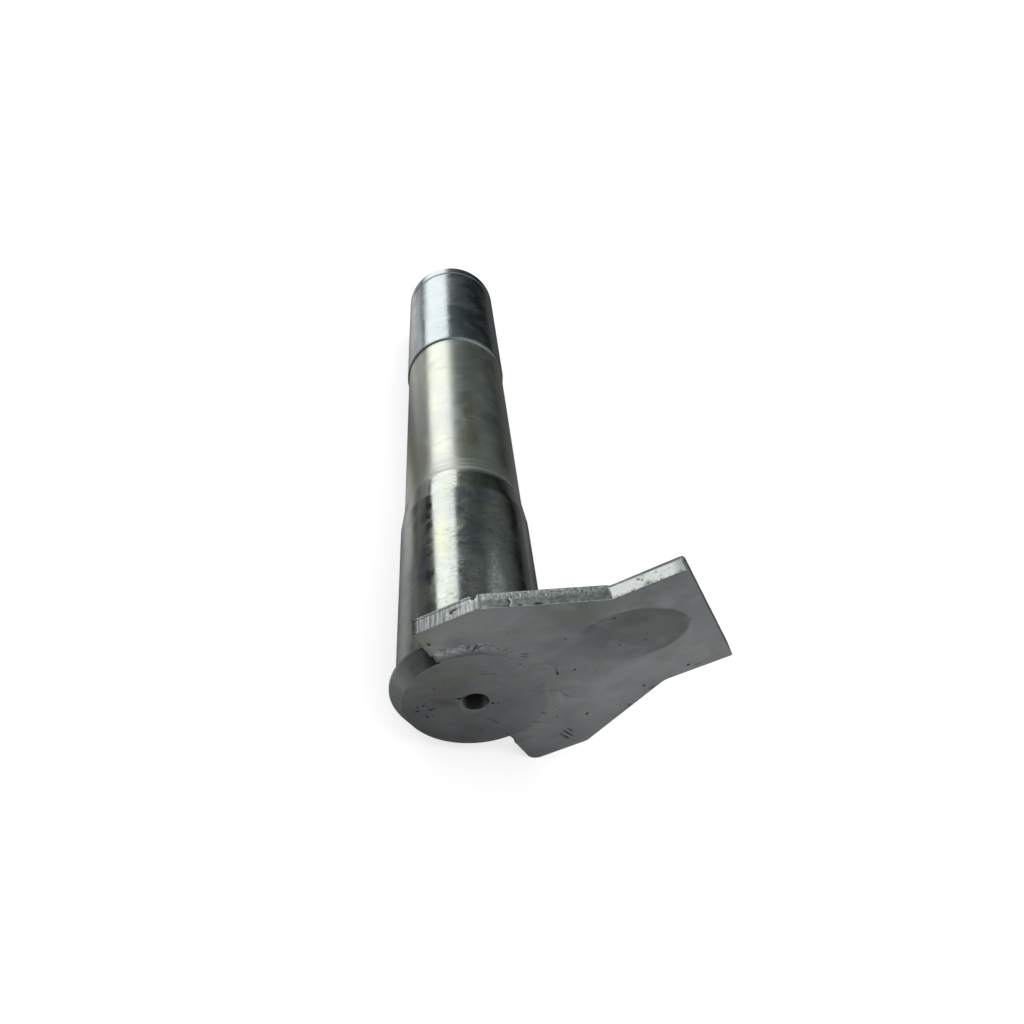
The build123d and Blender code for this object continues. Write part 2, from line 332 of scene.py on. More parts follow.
def turned(name, light, dark, tint, rough, rough_var, line, fine, wave, tint_at=None,
           speck=0.5, aniso=0.4, mottle=(150.0, 0.45, 0.62), bands=None, dash=0.0, dash_tone=0.0,
           dull_and_reflection_at=(), streaks=0.0, detail=4.0, spots=(), dash_from=None):
    """Turned, zinc plated cylinder: turning lines round the axis, cloudy plating, painted reflections and a painted
    highlight band.
    """
    t = Tree(name)
    p = t.obj
    x, y, z = t.xyz(p)
    # plating clouds, larger and smaller
    cloud = t.noise(p, mottle[0], detail, 0.55, 0.6)
    cloud2 = t.noise(t.mapping(p, loc=(3.1, 1.7, 0.4)), mottle[0] * 0.33, 2.0, 0.5)
    c = t.remap(t.add(t.mul(cloud, 0.6), t.mul(cloud2, 0.4)), mottle[1], mottle[2])
    ang = t.math("ARCTAN2", z, x)
    painted_highlight_band = 0.0
    if dash_from is not None:     # painted highlight: the base colour is kept light over the band of angles where the highlight falls
        painted_highlight_band = t.mul(t.remap(ang, math.radians(dash_from[0] - 6), math.radians(dash_from[1] - 4)),
                      t.remap(ang, math.radians(138), math.radians(150), 1.0, 0.0), 0.85)
        c = t.math("MAXIMUM", c, painted_highlight_band)
    color = t.mix(c, dark, light)
    # yellowish passivation drifting along the length
    drift = t.noise(t.mapping(p, loc=(7.7, 0.0, 2.0), scale=(1.0, 0.35, 1.0)), 60.0, 3.0, 0.55, 0.4)
    color = t.mix(t.remap(drift, 0.42, 0.66, 0.0, 0.85), color, tint)
    # turning lines: long round the axis, fine along it
    lines = t.noise(t.mapping(p, scale=(55.0, 2600.0, 55.0)), 1.0, 2.0, 0.6)
    dashes = t.noise(t.mapping(p, loc=(5.0, 0.3, 1.0), scale=(420.0, 2500.0, 420.0)), 1.0, 2.0, 0.55)
    broad = t.noise(t.mapping(p, loc=(1.0, 0.9, 4.0), scale=(25.0, 480.0, 25.0)), 1.0, 2.0, 0.5)
    color = t.mix(t.mul(t.remap(lines, 0.35, 0.7, 0.0, 0.30), t.math("SUBTRACT", 1.0, painted_highlight_band)), color, dark)
    color = t.mix(t.remap(broad, 0.45, 0.72, 0.0, 0.28), color, light)
    for a, yy, ra, ry, tone, amount in spots:     # patches listed one by one: angle, y, sizes; they paint reflections and the plating's tints into the colour
        d1 = t.mul(t.math("SUBTRACT", y, yy), 1.0 / ry)
        d2 = t.mul(t.math("SUBTRACT", ang, math.radians(a)), 1.0 / math.radians(ra))
        q = t.math("SQRT", t.add(t.mul(d1, d1), t.mul(d2, d2)))
        q = t.add(q, t.mul(t.math("SUBTRACT", cloud, 0.5), 2.2))
        color = t.mix(t.remap(q, 0.30, 1.15, amount, 0.0), color, tone)
    if tint_at is not None:       # one stronger tinted patch
        a, yy, r1, r2, col, amount = tint_at
        d1 = t.math("SUBTRACT", y, yy)
        d2 = t.math("ARCTAN2", z, x)
        d2 = t.math("SUBTRACT", d2, a)
        q = t.math("SQRT", t.add(t.math("POWER", t.mul(d1, 1.0 / r1), 2.0),
                                 t.math("POWER", t.mul(d2, 1.0 / r2), 2.0)))
        color = t.mix(t.remap(q, 0.2, 1.1, amount, 0.0), color, col)
    r = t.add(rough, t.mul(t.math("SUBTRACT", cloud, 0.5), rough_var),
              t.mul(t.math("SUBTRACT", lines, 0.5), min(rough_var, 0.16) * 0.6))
    # short dashes torn round the axis, in patches
    patchy = t.remap(t.noise(t.mapping(p, loc=(2.0, 8.0, 3.0)), 75.0, 2.0, 0.5), 0.42, 0.60, 0.25, 1.0)
    dashed = t.mul(t.remap(dashes, 0.56, 0.68), patchy)
    if dash_from is not None:
        dashed = t.mul(dashed, t.remap(ang, math.radians(dash_from[0]), math.radians(dash_from[1]), 1.0, 0.06))
    if dash_tone > 0:
        color = t.mix(t.mul(dashed, dash_tone), color, (0.10, 0.11, 0.11))
    if streaks > 0:               # paler drag marks
        drag = t.noise(t.mapping(p, loc=(4.0, 0.6, 9.0), scale=(75.0, 1150.0, 75.0)), 1.0, 1.0, 0.5)
        dm = t.mul(t.remap(drag, 0.60, 0.70), streaks)
        color = t.mix(dm, color, (0.84, 0.86, 0.82))
        r = t.add(r, t.mul(dm, 0.16))
    for a, yy, ry, ra, amount, more in dull_and_reflection_at:   # places left duller and painted lighter: angle, y, sizes; the lighter colour is a painted reflection
        d1 = t.math("SUBTRACT", y, yy)
        d2 = t.math("SUBTRACT", t.math("ARCTAN2", z, x), math.radians(a))
        q = t.math("SQRT", t.add(t.math("POWER", t.mul(d1, 1.0 / ry), 2.0),
                                 t.math("POWER", t.mul(d2, 1.0 / math.radians(ra)), 2.0),
                                 t.mul(t.math("SUBTRACT", cloud, 0.5), 2.0)))
        m = t.remap(q, 0.0, 1.25, 1.0, 0.0)
        grit = t.remap(t.noise(t.mapping(p, scale=(900.0, 2300.0, 900.0)), 1.0, 2.0, 0.6), 0.42, 0.66)
        color = t.mix(t.mul(m, amount, t.add(0.35, grit)), color, (0.90, 0.90, 0.86))
        r = t.add(r, t.mul(m, more, t.add(0.5, grit)))
    if bands is not None:         # duller rings at one end, also painted lighter as a highlight
        for y0, y1, amount, rr in bands:
            m = t.mul(t.remap(y, y0 - 0.0009, y0), t.remap(y, y1, y1 + 0.0009, 1.0, 0.0))
            color = t.mix(t.mul(m, amount), color, light)
            r = t.add(r, t.mul(m, rr))
    # small dark specks in the plating, and soil where the mesh says so
    sp = t.noise(t.mapping(p, loc=(9.0, 2.0, 6.0), scale=(900.0, 1900.0, 900.0)), 1.0, 1.0, 0.5)
    spk = t.remap(sp, 0.74, 0.80, 0.0, speck)
    color = t.mix(spk, color, (0.05, 0.055, 0.05))
    soil_and_shade = t.attr("soil_and_shade")
    color = t.mix(soil_and_shade, color, (0.015, 0.015, 0.014))
    rub_and_highlight = t.attr("rub_and_highlight")
    color = t.mix(rub_and_highlight, color, (0.86, 0.88, 0.86))
    r = t.add(r, t.mul(soil_and_shade, 0.3))
    h = t.add(t.mul(lines, line), t.mul(dashes, fine), t.mul(cloud, wave),
              t.mul(broad, line * 1.6), t.mul(sp, fine * 0.6), t.mul(dashed, -dash))
    r = t.math("MINIMUM", t.math("MAXIMUM", r, 0.10), 0.75)
    return t.finish(color, r, t.bump(h), aniso=aniso, tangent=aniso > 0)


def satin(name, base, dull, warm, rough, stain=True, grain=1.0, speck=0.7, head=False, blobs=(),
          metallic=1.0, rub_tone=(0.84, 0.87, 0.88)):
    """Plated flat face: satin, cloudy, with stains, fine scratches and patches of painted reflection."""
    t = Tree(name)
    p = t.mapping(t.obj, rot=(0.0, ANG, 0.0))     # x = along the plate, z = across it
    wob = t.noise_vec(p, 90.0, 3.0)
    big = t.noise(t.mapping(p, loc=(0.31, 0.0, 0.12)), 38.0, 3.0, 0.5, 0.5)
    mid = t.noise(p, 160.0, 4.0, 0.55, 0.4)
    color = t.mix(t.remap(big, 0.38, 0.64), dull, base)
    color = t.mix(t.remap(mid, 0.44, 0.68, 0.0, 0.35), color, warm)
    r = t.add(rough, t.mul(t.math("SUBTRACT", mid, 0.5), 0.16))
    # patches listed one by one: u, v, radii, turn; some are clouds that the plating and handling left, others are
    # painted reflections, lighter and darker
    for cu, cv, ru_, rv_, turn, tone, amount in blobs:
        q = t.ellipse(p, cu * MM, cv * MM, ru_ * MM, rv_ * MM, turn, wob, 0.004)
        color = t.mix(t.remap(q, 0.25, 1.15, amount, 0.0), color, tone)
    if stain:
        # a dried water stain: crisp towards the tail, washed out towards the pin's lower side
        wide = t.ellipse(p, 0.0531, 0.0032, 0.0184, 0.0110, -0.208, wob, 0.0022)
        up, vp = t.xyz(p)[0], t.xyz(p)[2]
        lower = t.math("ADD", t.mul(up, 0.75), t.mul(vp, 0.66))     # grows away from the washed side
        keep = t.remap(lower, 0.022, 0.044, 0.30, 1.0)
        right = t.remap(t.add(up, t.mul(vp, 0.35)), 0.040, 0.055)
        crisp = t.remap(wide, 0.94, 1.02, 1.0, 0.0)
        soft = t.remap(wide, 0.45, 1.12, 1.0, 0.0)
        inner = t.add(t.mul(crisp, right), t.mul(soft, t.math("SUBTRACT", 1.0, right)))
        ring = t.mul(t.remap(wide, 0.70, 0.99), t.remap(wide, 0.99, 1.03, 1.0, 0.0), keep, right)
        color = t.mix(t.mul(inner, keep, t.add(0.44, t.mul(right, 0.16))), color,
                      (base[0] * 0.46, base[1] * 0.47, base[2] * 0.47))
        color = t.mix(t.mul(ring, 0.22), color, (base[0] * 0.40, base[1] * 0.39, base[2] * 0.35))
        core = t.ellipse(p, 0.0572, 0.0088, 0.0052, 0.0034, -0.2, wob, 0.003)
        color = t.mix(t.remap(core, 0.2, 1.2, 0.45, 0.0), color, (base[0] * 0.36, base[1] * 0.38, base[2] * 0.27))
        r = t.add(r, t.mul(inner, keep, 0.06))
    # fine grinding lines, mostly along one direction
    g1 = t.noise(t.mapping(p, rot=(0.0, 0.5, 0.0), scale=(180.0, 180.0, 2400.0)), 1.0, 2.0, 0.6)
    g2 = t.noise(t.mapping(p, rot=(0.0, -0.7, 0.0), scale=(140.0, 140.0, 1500.0)), 1.0, 2.0, 0.6)
    sm1 = t.noise(t.mapping(p, loc=(0.7, 0.0, 0.2), rot=(0.0, 0.62, 0.0), scale=(80.0, 80.0, 135.0)), 1.0, 3.0, 0.50, 0.5)
    sm2 = t.noise(t.mapping(p, loc=(0.1, 0.4, 0.9), rot=(0.0, -0.35, 0.0), scale=(105.0, 105.0, 170.0)), 1.0, 3.0, 0.50, 0.5)
    color = t.mix(t.remap(sm1, 0.48, 0.68, 0.0, 0.30), color, (base[0] * 1.20, base[1] * 1.19, base[2] * 1.24))
    color = t.mix(t.remap(sm2, 0.50, 0.70, 0.0, 0.34), color, (base[0] * 0.72, base[1] * 0.73, base[2] * 0.68))
    peel = t.noise(p, 700.0, 3.0, 0.6)
    sp = t.noise(t.mapping(p, loc=(4.0, 1.0, 2.0)), 1300.0, 1.0, 0.5)
    color = t.mix(t.remap(sp, 0.73, 0.80, 0.0, speck), color, (0.10, 0.10, 0.10))
    color = t.mix(t.remap(g1, 0.66, 0.80, 0.0, 0.30), color, (base[0] * 0.7, base[1] * 0.7, base[2] * 0.7))
    color = t.mix(t.remap(g2, 0.68, 0.82, 0.0, 0.18), color, (0.84, 0.85, 0.86))
    if head:
        # the sawn and faced end of the bar: faint arcs about the axis, brown flecks
        rad = t.vmath("LENGTH", t.vmath("MULTIPLY", p, (1.0, 0.0, 1.0)), None)
        arcs = t.noise(t.mapping(t.obj, scale=(10.0, 10.0, 10.0)), 1.0, 0.0)
        w = t.nt.nodes.new("ShaderNodeTexNoise")
        w.noise_dimensions = "1D"
        t.put(w.inputs["W"], t.add(t.mul(rad, 1500.0), t.mul(arcs, 0.6)))
        w.inputs["Scale"].default_value = 1.0
        w.inputs["Detail"].default_value = 2.0
        arc = w.outputs["Fac"]
        color = t.mix(t.remap(arc, 0.40, 0.75, 0.0, 0.22), color, dull)
        fleck = t.noise(t.mapping(p, loc=(2.2, 5.0, 1.1)), 620.0, 2.0, 0.5)
        zone = t.ellipse(p, 0.0, 0.0125, 0.011, 0.0034, 0.15, wob, 0.003)
        color = t.mix(t.mul(t.remap(fleck, 0.66, 0.73), t.remap(zone, 0.6, 1.3, 0.40, 0.0)), color,
                      (0.62, 0.48, 0.40))
        h_arc = t.mul(arc, 0.0000016)
    soil_and_shade = t.attr("soil_and_shade")
    color = t.mix(soil_and_shade, color, (0.012, 0.012, 0.012))
    rub_and_highlight = t.attr("rub_and_highlight")
    color = t.mix(rub_and_highlight, color, rub_tone)
    color = t.mix(t.attr("brown"), color, (0.50, 0.53, 0.36))
    r = t.add(r, t.mul(soil_and_shade, 0.25))
    h = t.add(t.mul(peel, 0.0000060 * grain), t.mul(g1, 0.0000016 * grain),
              t.mul(g2, 0.0000012 * grain), t.mul(sp, 0.000003 * grain))
    if head:
        h = t.add(h, h_arc)
    return t.finish(color, r, t.bump(h), metallic=metallic)


def cut_edge(name, base, dull, rough, grain, speck):
    """The plate's cut edge: sheared or sawn and then plated."""
    t = Tree(name)
    p = t.mapping(t.obj, rot=(0.0, ANG, 0.0))
    n1 = t.noise(p, 900.0, 4.0, 0.6, 0.3)
    n2 = t.noise(p, 120.0, 3.0, 0.5)
    stri = t.noise(t.mapping(p, scale=(2600.0, 240.0, 2600.0)), 1.0, 2.0, 0.6)
    color = t.mix(t.remap(t.add(t.mul(n1, 0.5), t.mul(n2, 0.5)), 0.40, 0.62), dull, base)
    color = t.mix(t.remap(stri, 0.55, 0.75, 0.0, 0.45), color, dull)
    color = t.mix(t.remap(n1, 0.70, 0.78, 0.0, speck), color, (0.10, 0.10, 0.09))
    soil_and_shade = t.attr("soil_and_shade")
    color = t.mix(soil_and_shade, color, (0.020, 0.018, 0.015))
    rub_and_highlight = t.attr("rub_and_highlight")
    color = t.mix(rub_and_highlight, color, (0.88, 0.90, 0.88))
    rust = t.attr("brown")
    color = t.mix(rust, color, (0.17, 0.155, 0.10))
    r = t.add(rough, t.mul(t.math("SUBTRACT", n1, 0.5), 0.25), t.mul(soil_and_shade, 0.2))
    # the torn rear half of the middle cut is coarser
    u, y, v = t.xyz(p)
    torn = t.mul(t.remap(u, 0.0222, 0.0232), t.remap(u, 0.0535, 0.0545, 1.0, 0.0),
                 t.remap(v, 0.015, 0.019), t.remap(t.add(y, t.mul(n2, 0.0008)), -0.0030, -0.0024))
    chips = t.noise(t.mapping(p, loc=(1.0, 2.0, 3.0)), 1500.0, 3.0, 0.6)
    h = t.add(t.mul(n1, 0.000010 * grain), t.mul(stri, 0.000008 * grain),
              t.mul(chips, torn, 0.000130))
    color = t.mix(t.mul(torn, t.remap(chips, 0.50, 0.60)), color, (0.95, 0.96, 0.95))
    color = t.mix(t.mul(torn, t.remap(chips, 0.36, 0.45, 0.6, 0.0)), color, (0.10, 0.10, 0.10))
    return t.finish(color, r, t.bump(h))


M_ROOT = turned("zinc_root_land", (0.68, 0.715, 0.66), (0.46, 0.51, 0.54), (0.67, 0.70, 0.58),
                0.20, 0.42, 0.0000012, 0.0000016, 0.0000200,
                tint_at=(math.radians(128), 0.046, 0.016, 0.11, (0.78, 0.84, 0.48), 0.42),
                mottle=(150.0, 0.40, 0.56), dash=0.0000150, dash_tone=0.60, dash_from=(121.0, 129.0),
                # painted reflections: dark blue-grey patches and paler ones where the metal mirrors darker and lighter
                # surroundings
                spots=((93.0, 0.067, 13.0, 0.006, (0.34, 0.40, 0.54), 0.55),
                       (103.0, 0.047, 9.0, 0.010, (0.36, 0.46, 0.50), 0.50),
                       (145.0, 0.034, 6.0, 0.014, (0.36, 0.41, 0.54), 0.60),
                       (104.0, 0.024, 10.0, 0.008, (0.74, 0.71, 0.64), 0.45),
                       (144.0, 0.060, 6.0, 0.005, (0.30, 0.33, 0.34), 0.55),
                       (84.0, 0.050, 6.0, 0.008, (0.66, 0.68, 0.66), 0.40)),
                # a paler, rougher streak low on the right side; its paler colour is a painted reflection
                dull_and_reflection_at=((86.0, 0.016, 0.026, 9.0, 1.0, 0.80), (72.0, 0.052, 0.010, 9.0, 0.2, 0.08)))
M_MID = turned("zinc_middle", (0.85, 0.88, 0.82), (0.75, 0.79, 0.72), (0.85, 0.87, 0.72),
               0.335, 0.26, 0.0000024, 0.0000012, 0.0000150, aniso=0.45, mottle=(95.0, 0.40, 0.60),
               bands=((0.0845, 0.0856, 0.8, 0.16), (0.0872, 0.0878, 0.6, 0.10), (0.0898, 0.0902, 0.5, 0.08)),
               dash=0.0000040, dash_tone=0.10, streaks=0.55,
               # the olive and yellowish spots are the plating's tint; the rest are painted reflections: a darker right
               # side with paler and darker patches on it
               spots=((70.0, 0.138, 24.0, 0.060, (0.66, 0.72, 0.68), 0.55),
                      (80.0, 0.158, 13.0, 0.006, (0.98, 0.98, 0.92), 0.80),
                      (60.0, 0.176, 10.0, 0.008, (0.52, 0.56, 0.52), 0.70),
                      (97.0, 0.121, 8.0, 0.024, (0.62, 0.60, 0.40), 0.60),
                      (74.0, 0.124, 12.0, 0.010, (0.56, 0.60, 0.56), 0.65),
                      (101.0, 0.106, 5.0, 0.016, (0.68, 0.68, 0.44), 0.45),
                      (88.0, 0.140, 9.0, 0.004, (0.98, 0.98, 0.90), 0.60),
                      (86.0, 0.178, 14.0, 0.004, (0.66, 0.70, 0.66), 0.55),
                      (133.0, 0.176, 8.0, 0.010, (0.94, 0.95, 0.74), 0.60),
                      (136.0, 0.135, 7.0, 0.010, (0.93, 0.95, 0.76), 0.60),
                      (128.0, 0.104, 8.0, 0.012, (0.93, 0.95, 0.80), 0.50)))
M_TIP = turned("zinc_tip_land", (0.69, 0.74, 0.76), (0.54, 0.62, 0.66), (0.62, 0.69, 0.69),
               0.245, 0.30, 0.0000004, 0.0000003, 0.0000130, mottle=(95.0, 0.43, 0.58), speck=0.3,
               aniso=0.25, dash=0.0000010, detail=2.0,
               # painted reflections: the pale patch on the left side and the dark and pale clouds on the right; the
               # teal ones are painted reflections that also carry the plating's teal tint
               spots=((172.0, 0.232, 11.0, 0.050, (0.93, 0.90, 0.93), 0.85),
                      (152.0, 0.228, 7.0, 0.022, (0.32, 0.50, 0.52), 0.60),
                      (103.0, 0.222, 12.0, 0.020, (0.32, 0.47, 0.49), 0.55),
                      (76.0, 0.241, 15.0, 0.010, (0.24, 0.29, 0.34), 0.75),
                      (70.0, 0.262, 22.0, 0.012, (0.30, 0.35, 0.38), 0.65),
                      (80.0, 0.214, 18.0, 0.009, (0.30, 0.38, 0.42), 0.60),
                      (93.0, 0.250, 10.0, 0.0035, (0.88, 0.90, 0.92), 0.50),
                      (80.0, 0.227, 10.0, 0.003, (0.80, 0.84, 0.84), 0.45)))
M_BEVEL = satin("zinc_collar", (0.56, 0.61, 0.61), (0.46, 0.51, 0.51), (0.58, 0.60, 0.57), 0.36,
                stain=False, grain=0.8, rub_tone=(0.94, 0.98, 0.97))
M_HEAD = satin("zinc_head_face", (0.64, 0.66, 0.68), (0.50, 0.525, 0.54), (0.63, 0.63, 0.58), 0.40,
               stain=False, head=True, speck=0.4, blobs=(
                   (-3.0, 15.5, 13.0, 5.5, -0.2, (0.62, 0.64, 0.54), 0.60),
                   (-6.0, 9.5, 6.0, 4.0, -0.8, (0.62, 0.62, 0.54), 0.45),
                   (6.0, 14.5, 5.0, 3.0, -0.6, (0.62, 0.66, 0.55), 0.50),
                   (-7.6, 4.6, 6.5, 2.4, -0.78, (0.34, 0.34, 0.34), 0.60),
                   (-2.2, 1.0, 5.5, 5.5, 0.0, (0.46, 0.45, 0.44), 0.35),
                   (10.0, -3.0, 9.0, 6.0, -0.8, (0.60, 0.60, 0.66), 0.45),
                   (-14.0, -4.0, 7.0, 12.0, 0.3, (0.74, 0.75, 0.77), 0.60),
                   (0.0, -13.0, 9.0, 6.0, -0.4, (0.60, 0.66, 0.70), 0.40),
                   (14.5, -9.0, 5.0, 5.0, 0.0, (0.56, 0.63, 0.64), 0.35)))
# the bore's dark grey base colour is painted shade inside the hole
M_BORE = satin("zinc_bore", (0.34, 0.35, 0.36), (0.24, 0.25, 0.26), (0.34, 0.34, 0.32), 0.50,
               stain=False, grain=2.0, metallic=0.25)
# the pale patch just under the middle cut edge, at u 42, v 25.5, is a painted highlight
M_FACE = satin("zinc_plate_face", (0.70, 0.73, 0.74), (0.55, 0.585, 0.60), (0.68, 0.69, 0.64), 0.38, speck=0.4, blobs=(
                   (60.4, 16.6, 3.4, 4.6, 0.2, (0.56, 0.64, 0.44), 0.55),
                   (64.4, 14.6, 3.2, 2.2, -0.7, (0.82, 0.81, 0.82), 0.50),
                   (32.0, 15.6, 4.2, 2.6, -0.7, (0.66, 0.76, 0.76), 0.45),
                   (43.0, 20.0, 9.0, 4.2, -0.6, (0.58, 0.60, 0.52), 0.65),
                   (34.0, 23.5, 6.0, 3.0, -0.6, (0.70, 0.71, 0.64), 0.45),
                   (34.5, 8.0, 5.0, 4.0, -0.7, (0.52, 0.57, 0.55), 0.50),
                   (29.5, -8.0, 3.0, 2.2, -0.7, (0.80, 0.77, 0.82), 0.40),
                   (36.0, 0.0, 5.5, 4.5, -0.6, (0.64, 0.64, 0.70), 0.40),
                   (42.0, -14.0, 15.0, 8.0, -0.25, (0.70, 0.74, 0.80), 0.55),
                   (26.5, 4.0, 5.0, 15.0, 0.05, (0.50, 0.53, 0.55), 0.55),
                   (16.0, -24.0, 9.0, 8.0, 0.0, (0.52, 0.57, 0.62), 0.50),
                   (34.0, 11.0, 9.0, 3.5, -0.5, (0.50, 0.53, 0.53), 0.50),
                   (51.0, -6.0, 7.0, 4.0, -0.2, (0.48, 0.50, 0.52), 0.45),
                   (67.0, 12.0, 3.5, 4.0, 0.0, (0.84, 0.87, 0.88), 0.60),
                   (14.0, -34.0, 13.0, 6.0, 0.0, (0.48, 0.51, 0.53), 0.50),
                   (42.0, 25.5, 4.5, 2.2, -0.6, (0.84, 0.86, 0.86), 0.45),
                   (3.0, 31.0, 6.5, 5.0, 0.0, (0.86, 0.90, 0.87), 0.85),
                   (76.0, -20.5, 4.5, 5.0, 0.3, (0.72, 0.70, 0.57), 0.55),
                   (74.5, 4.0, 4.0, 14.0, 0.0, (0.60, 0.67, 0.66), 0.45),
                   (64.0, -9.0, 9.0, 3.0, -0.25, (0.70, 0.70, 0.70), 0.35),
                   (12.0, 33.0, 13.0, 5.0, -0.25, (0.68, 0.77, 0.73), 0.55),
                   (1.0, 35.5, 2.5, 3.5, 0.0, (0.76, 0.80, 0.62), 0.50),
                   (20.0, 26.0, 7.0, 4.0, -0.6, (0.68, 0.68, 0.66), 0.35),
                   (9.5, -37.5, 10.0, 2.5, 0.0, (0.50, 0.55, 0.46), 0.35)))
M_REAR = satin("zinc_plate_rear", (0.66, 0.68, 0.68), (0.57, 0.60, 0.61), (0.66, 0.66, 0.62), 0.40,
               stain=False)
M_EDGE = cut_edge("zinc_cut_edge", (0.86, 0.89, 0.88), (0.54, 0.57, 0.56), 0.38, 1.6, 0.5)
M_WELD = satin("zinc_weld", (0.66, 0.68, 0.69), (0.58, 0.61, 0.62), (0.63, 0.64, 0.60), 0.36,
               stain=False, grain=1.4, rub_tone=(0.86, 0.88, 0.95))


# ============================================================== the turned pin
def build_pin():
    NF, NB = 384, 192                     # segments of the head face and of the body
    prof = []                             # (radius, y, material, dense?) outer skin of the body

    def line(r0, y0, r1, y1, n, mat):
        for i in range(n):
            s = i / n
            prof.append((r0 + (r1 - r0) * s, y0 + (y1 - y0) * s, mat))

    def arc(rc, yc, rad, a0, a1, n, mat):
        for i in range(n):
            a = math.radians(a0 + (a1 - a0) * i / n)
            prof.append((rc + rad * math.cos(a), yc + rad * math.sin(a), mat))

    # bevel from the head face's rim to the collar
    sl = math.degrees(math.atan2(5.0, 4.2))
    line(22.86, -5.93, 26.93, -1.12, 14, 1)
    line(26.985, -0.98, 26.985, -0.25, 5, 1)
    line(26.985, -0.22, 26.76, 0.0, 2, 1)
    line(26.6, 0.0, 25.42, 0.0, 3, 1)
    line(25.22, 0.05, 25.0, 0.42, 3, 2)   # tool radius under the collar
    line(25.0, 0.6, 25.0, 71.3, 62, 2)
    line(25.0, 71.3, 24.98, 71.8, 1, 2)
    line(24.97, 71.8, 23.80, 83.1, 14, 2)
    line(23.78, 83.3, 23.74, 84.0, 2, 3)
    for yy in np.arange(84.2, 93.0, 0.35):    # light tool bands at the start of the middle
        g = 0.004 * math.sin((yy - 84.2) * 2.9) * math.exp(-(yy - 84.2) / 5.0)
        prof.append((23.75 + g, float(yy), 3))
    line(23.75, 93.2, 23.75, 190.3, 74, 3)
    line(23.75, 190.35, 23.77, 190.75, 3, 3)
    line(23.86, 190.95, 24.20, 191.0, 2, 4)
    line(24.34, 191.03, 24.5, 191.35, 3, 4)
    line(24.5, 191.6, 24.5, 269.1, 58, 4)
    arc(24.33, 269.23, 0.17, 0, 90, 3, 4)
    line(24.28, 269.42, 23.42, 269.55, 3, 4)
    arc(23.5, 270.5, 0.62, 225, 252, 1, 4)
    line(23.30, 269.80, 23.30, 271.2, 4, 4)
    line(23.42, 271.45, 24.28, 271.58, 3, 4)
    arc(24.33, 271.77, 0.17, -90, 0, 3, 4)
    line(24.5, 271.9, 24.5, 277.35, 6, 4)
    arc(24.20, 277.5, 0.3, 0, 45, 2, 4)
    line(24.41, 277.71, 23.2, 278.87, 3, 4)
    line(23.0, 279.0, 3.0, 279.0, 14, 5)
    line(3.0, 279.0, 0.9, 279.0, 2, 5)
    prof = [p for i, p in enumerate(prof) if i == 0 or math.hypot(p[0] - prof[i - 1][0], p[1] - prof[i - 1][1]) > 1e-4]

    verts, faces, fmat = [], [], []
    soil_and_shade, rub_and_highlight = [], []

    # --- head face: from the hole's mouth outwards, 384 segments
    th = np.arange(NF) * 2 * math.pi / NF
    radii = [4.62, 4.74, 4.88, 5.04, 5.22, 5.44, 5.70, 6.00, 6.35] + list(np.arange(6.72, 22.45, 0.40)) + [22.45, 22.62, 22.74, 22.81]
    nr = len(radii)
    rings = []

    def mouth(u, v, r):
        """Torn notch beside the hole and the side where its mouth is broken wider."""
        lip, tl = seg_dist(u, v, -2.4, 3.3, -4.3, 4.7)
        lip = np.exp(-((lip / (0.80 - 0.50 * tl)) ** 2))
        side = np.clip(np.cos(th - math.radians(205)), 0, 1) ** 3
        return 0.50 * lip + 0.30 * side * float(sstep(5.5, 4.6, r)), lip
    for k, r in enumerate(radii):
        x, z = r * np.cos(th), r * np.sin(th)
        u, v = x * CA + z * SA, -x * SA + z * CA
        d, s, b = front_marks(u, v)
        pts = np.stack([x, np.full(NF, -6.0), z], -1)
        und = 0.012 * (1 + pnoise(pts, 0.13, 3.0))
        y = -6.0 + d + und
        # slight hand-worn burr and break at the bar's rim
        if r > 22.4:
            y = y + {0: 0.0, 1: 0.004, 2: 0.014, 3: 0.035}[max(0, k - (nr - 4))]
        # small torn notch beside the hole's mouth
        extra, lip = mouth(u, v, r)
        y = y + extra
        s = np.maximum(s, np.clip(1.25 * lip, 0, 0.97))
        rings.append(len(verts))
        verts.extend(np.stack([x, y, z], -1).tolist())
        soil_and_shade.extend(s.tolist())
        rub_and_highlight.extend(b.tolist())
    for k in range(nr - 1):
        a, c = rings[k], rings[k + 1]
        for i in range(NF):
            j = (i + 1) % NF
            faces.append((a + i, a + j, c + j, c + i))
            fmat.append(0)
    # --- bore: broken mouth, wall, drill point (inwards from the face)
    bore = [(4.50, -5.90), (4.36, -5.76), (4.27, -5.62), (4.25, -5.4), (4.25, -4.4), (4.25, -2.5),
            (4.25, 0.5), (4.25, 4.0), (4.25, 8.0), (4.25, 12.0), (4.25, 15.6), (4.25, 16.0),
            (3.2, 16.63), (2.0, 17.35), (0.9, 18.01)]
    prev, step = rings[0], NF
    for r, y in bore:
        cur = len(verts)
        n = NF
        wob = 0.03 * np.sin(3 * th + 1.0) + 0.02 * np.sin(7 * th)
        rr = r + (wob if y < -5.3 else np.zeros(n))
        bx, bz = rr * np.cos(th), rr * np.sin(th)
        extra, lip = mouth(bx * CA + bz * SA, -bx * SA + bz * CA, 4.6)
        by = np.maximum(y, -5.98 + extra + 0.10 * (4.62 - r)) if y < -4.5 else np.full(n, y)
        for i in range(n):
            verts.append([float(bx[i]), float(by[i]), float(bz[i])])
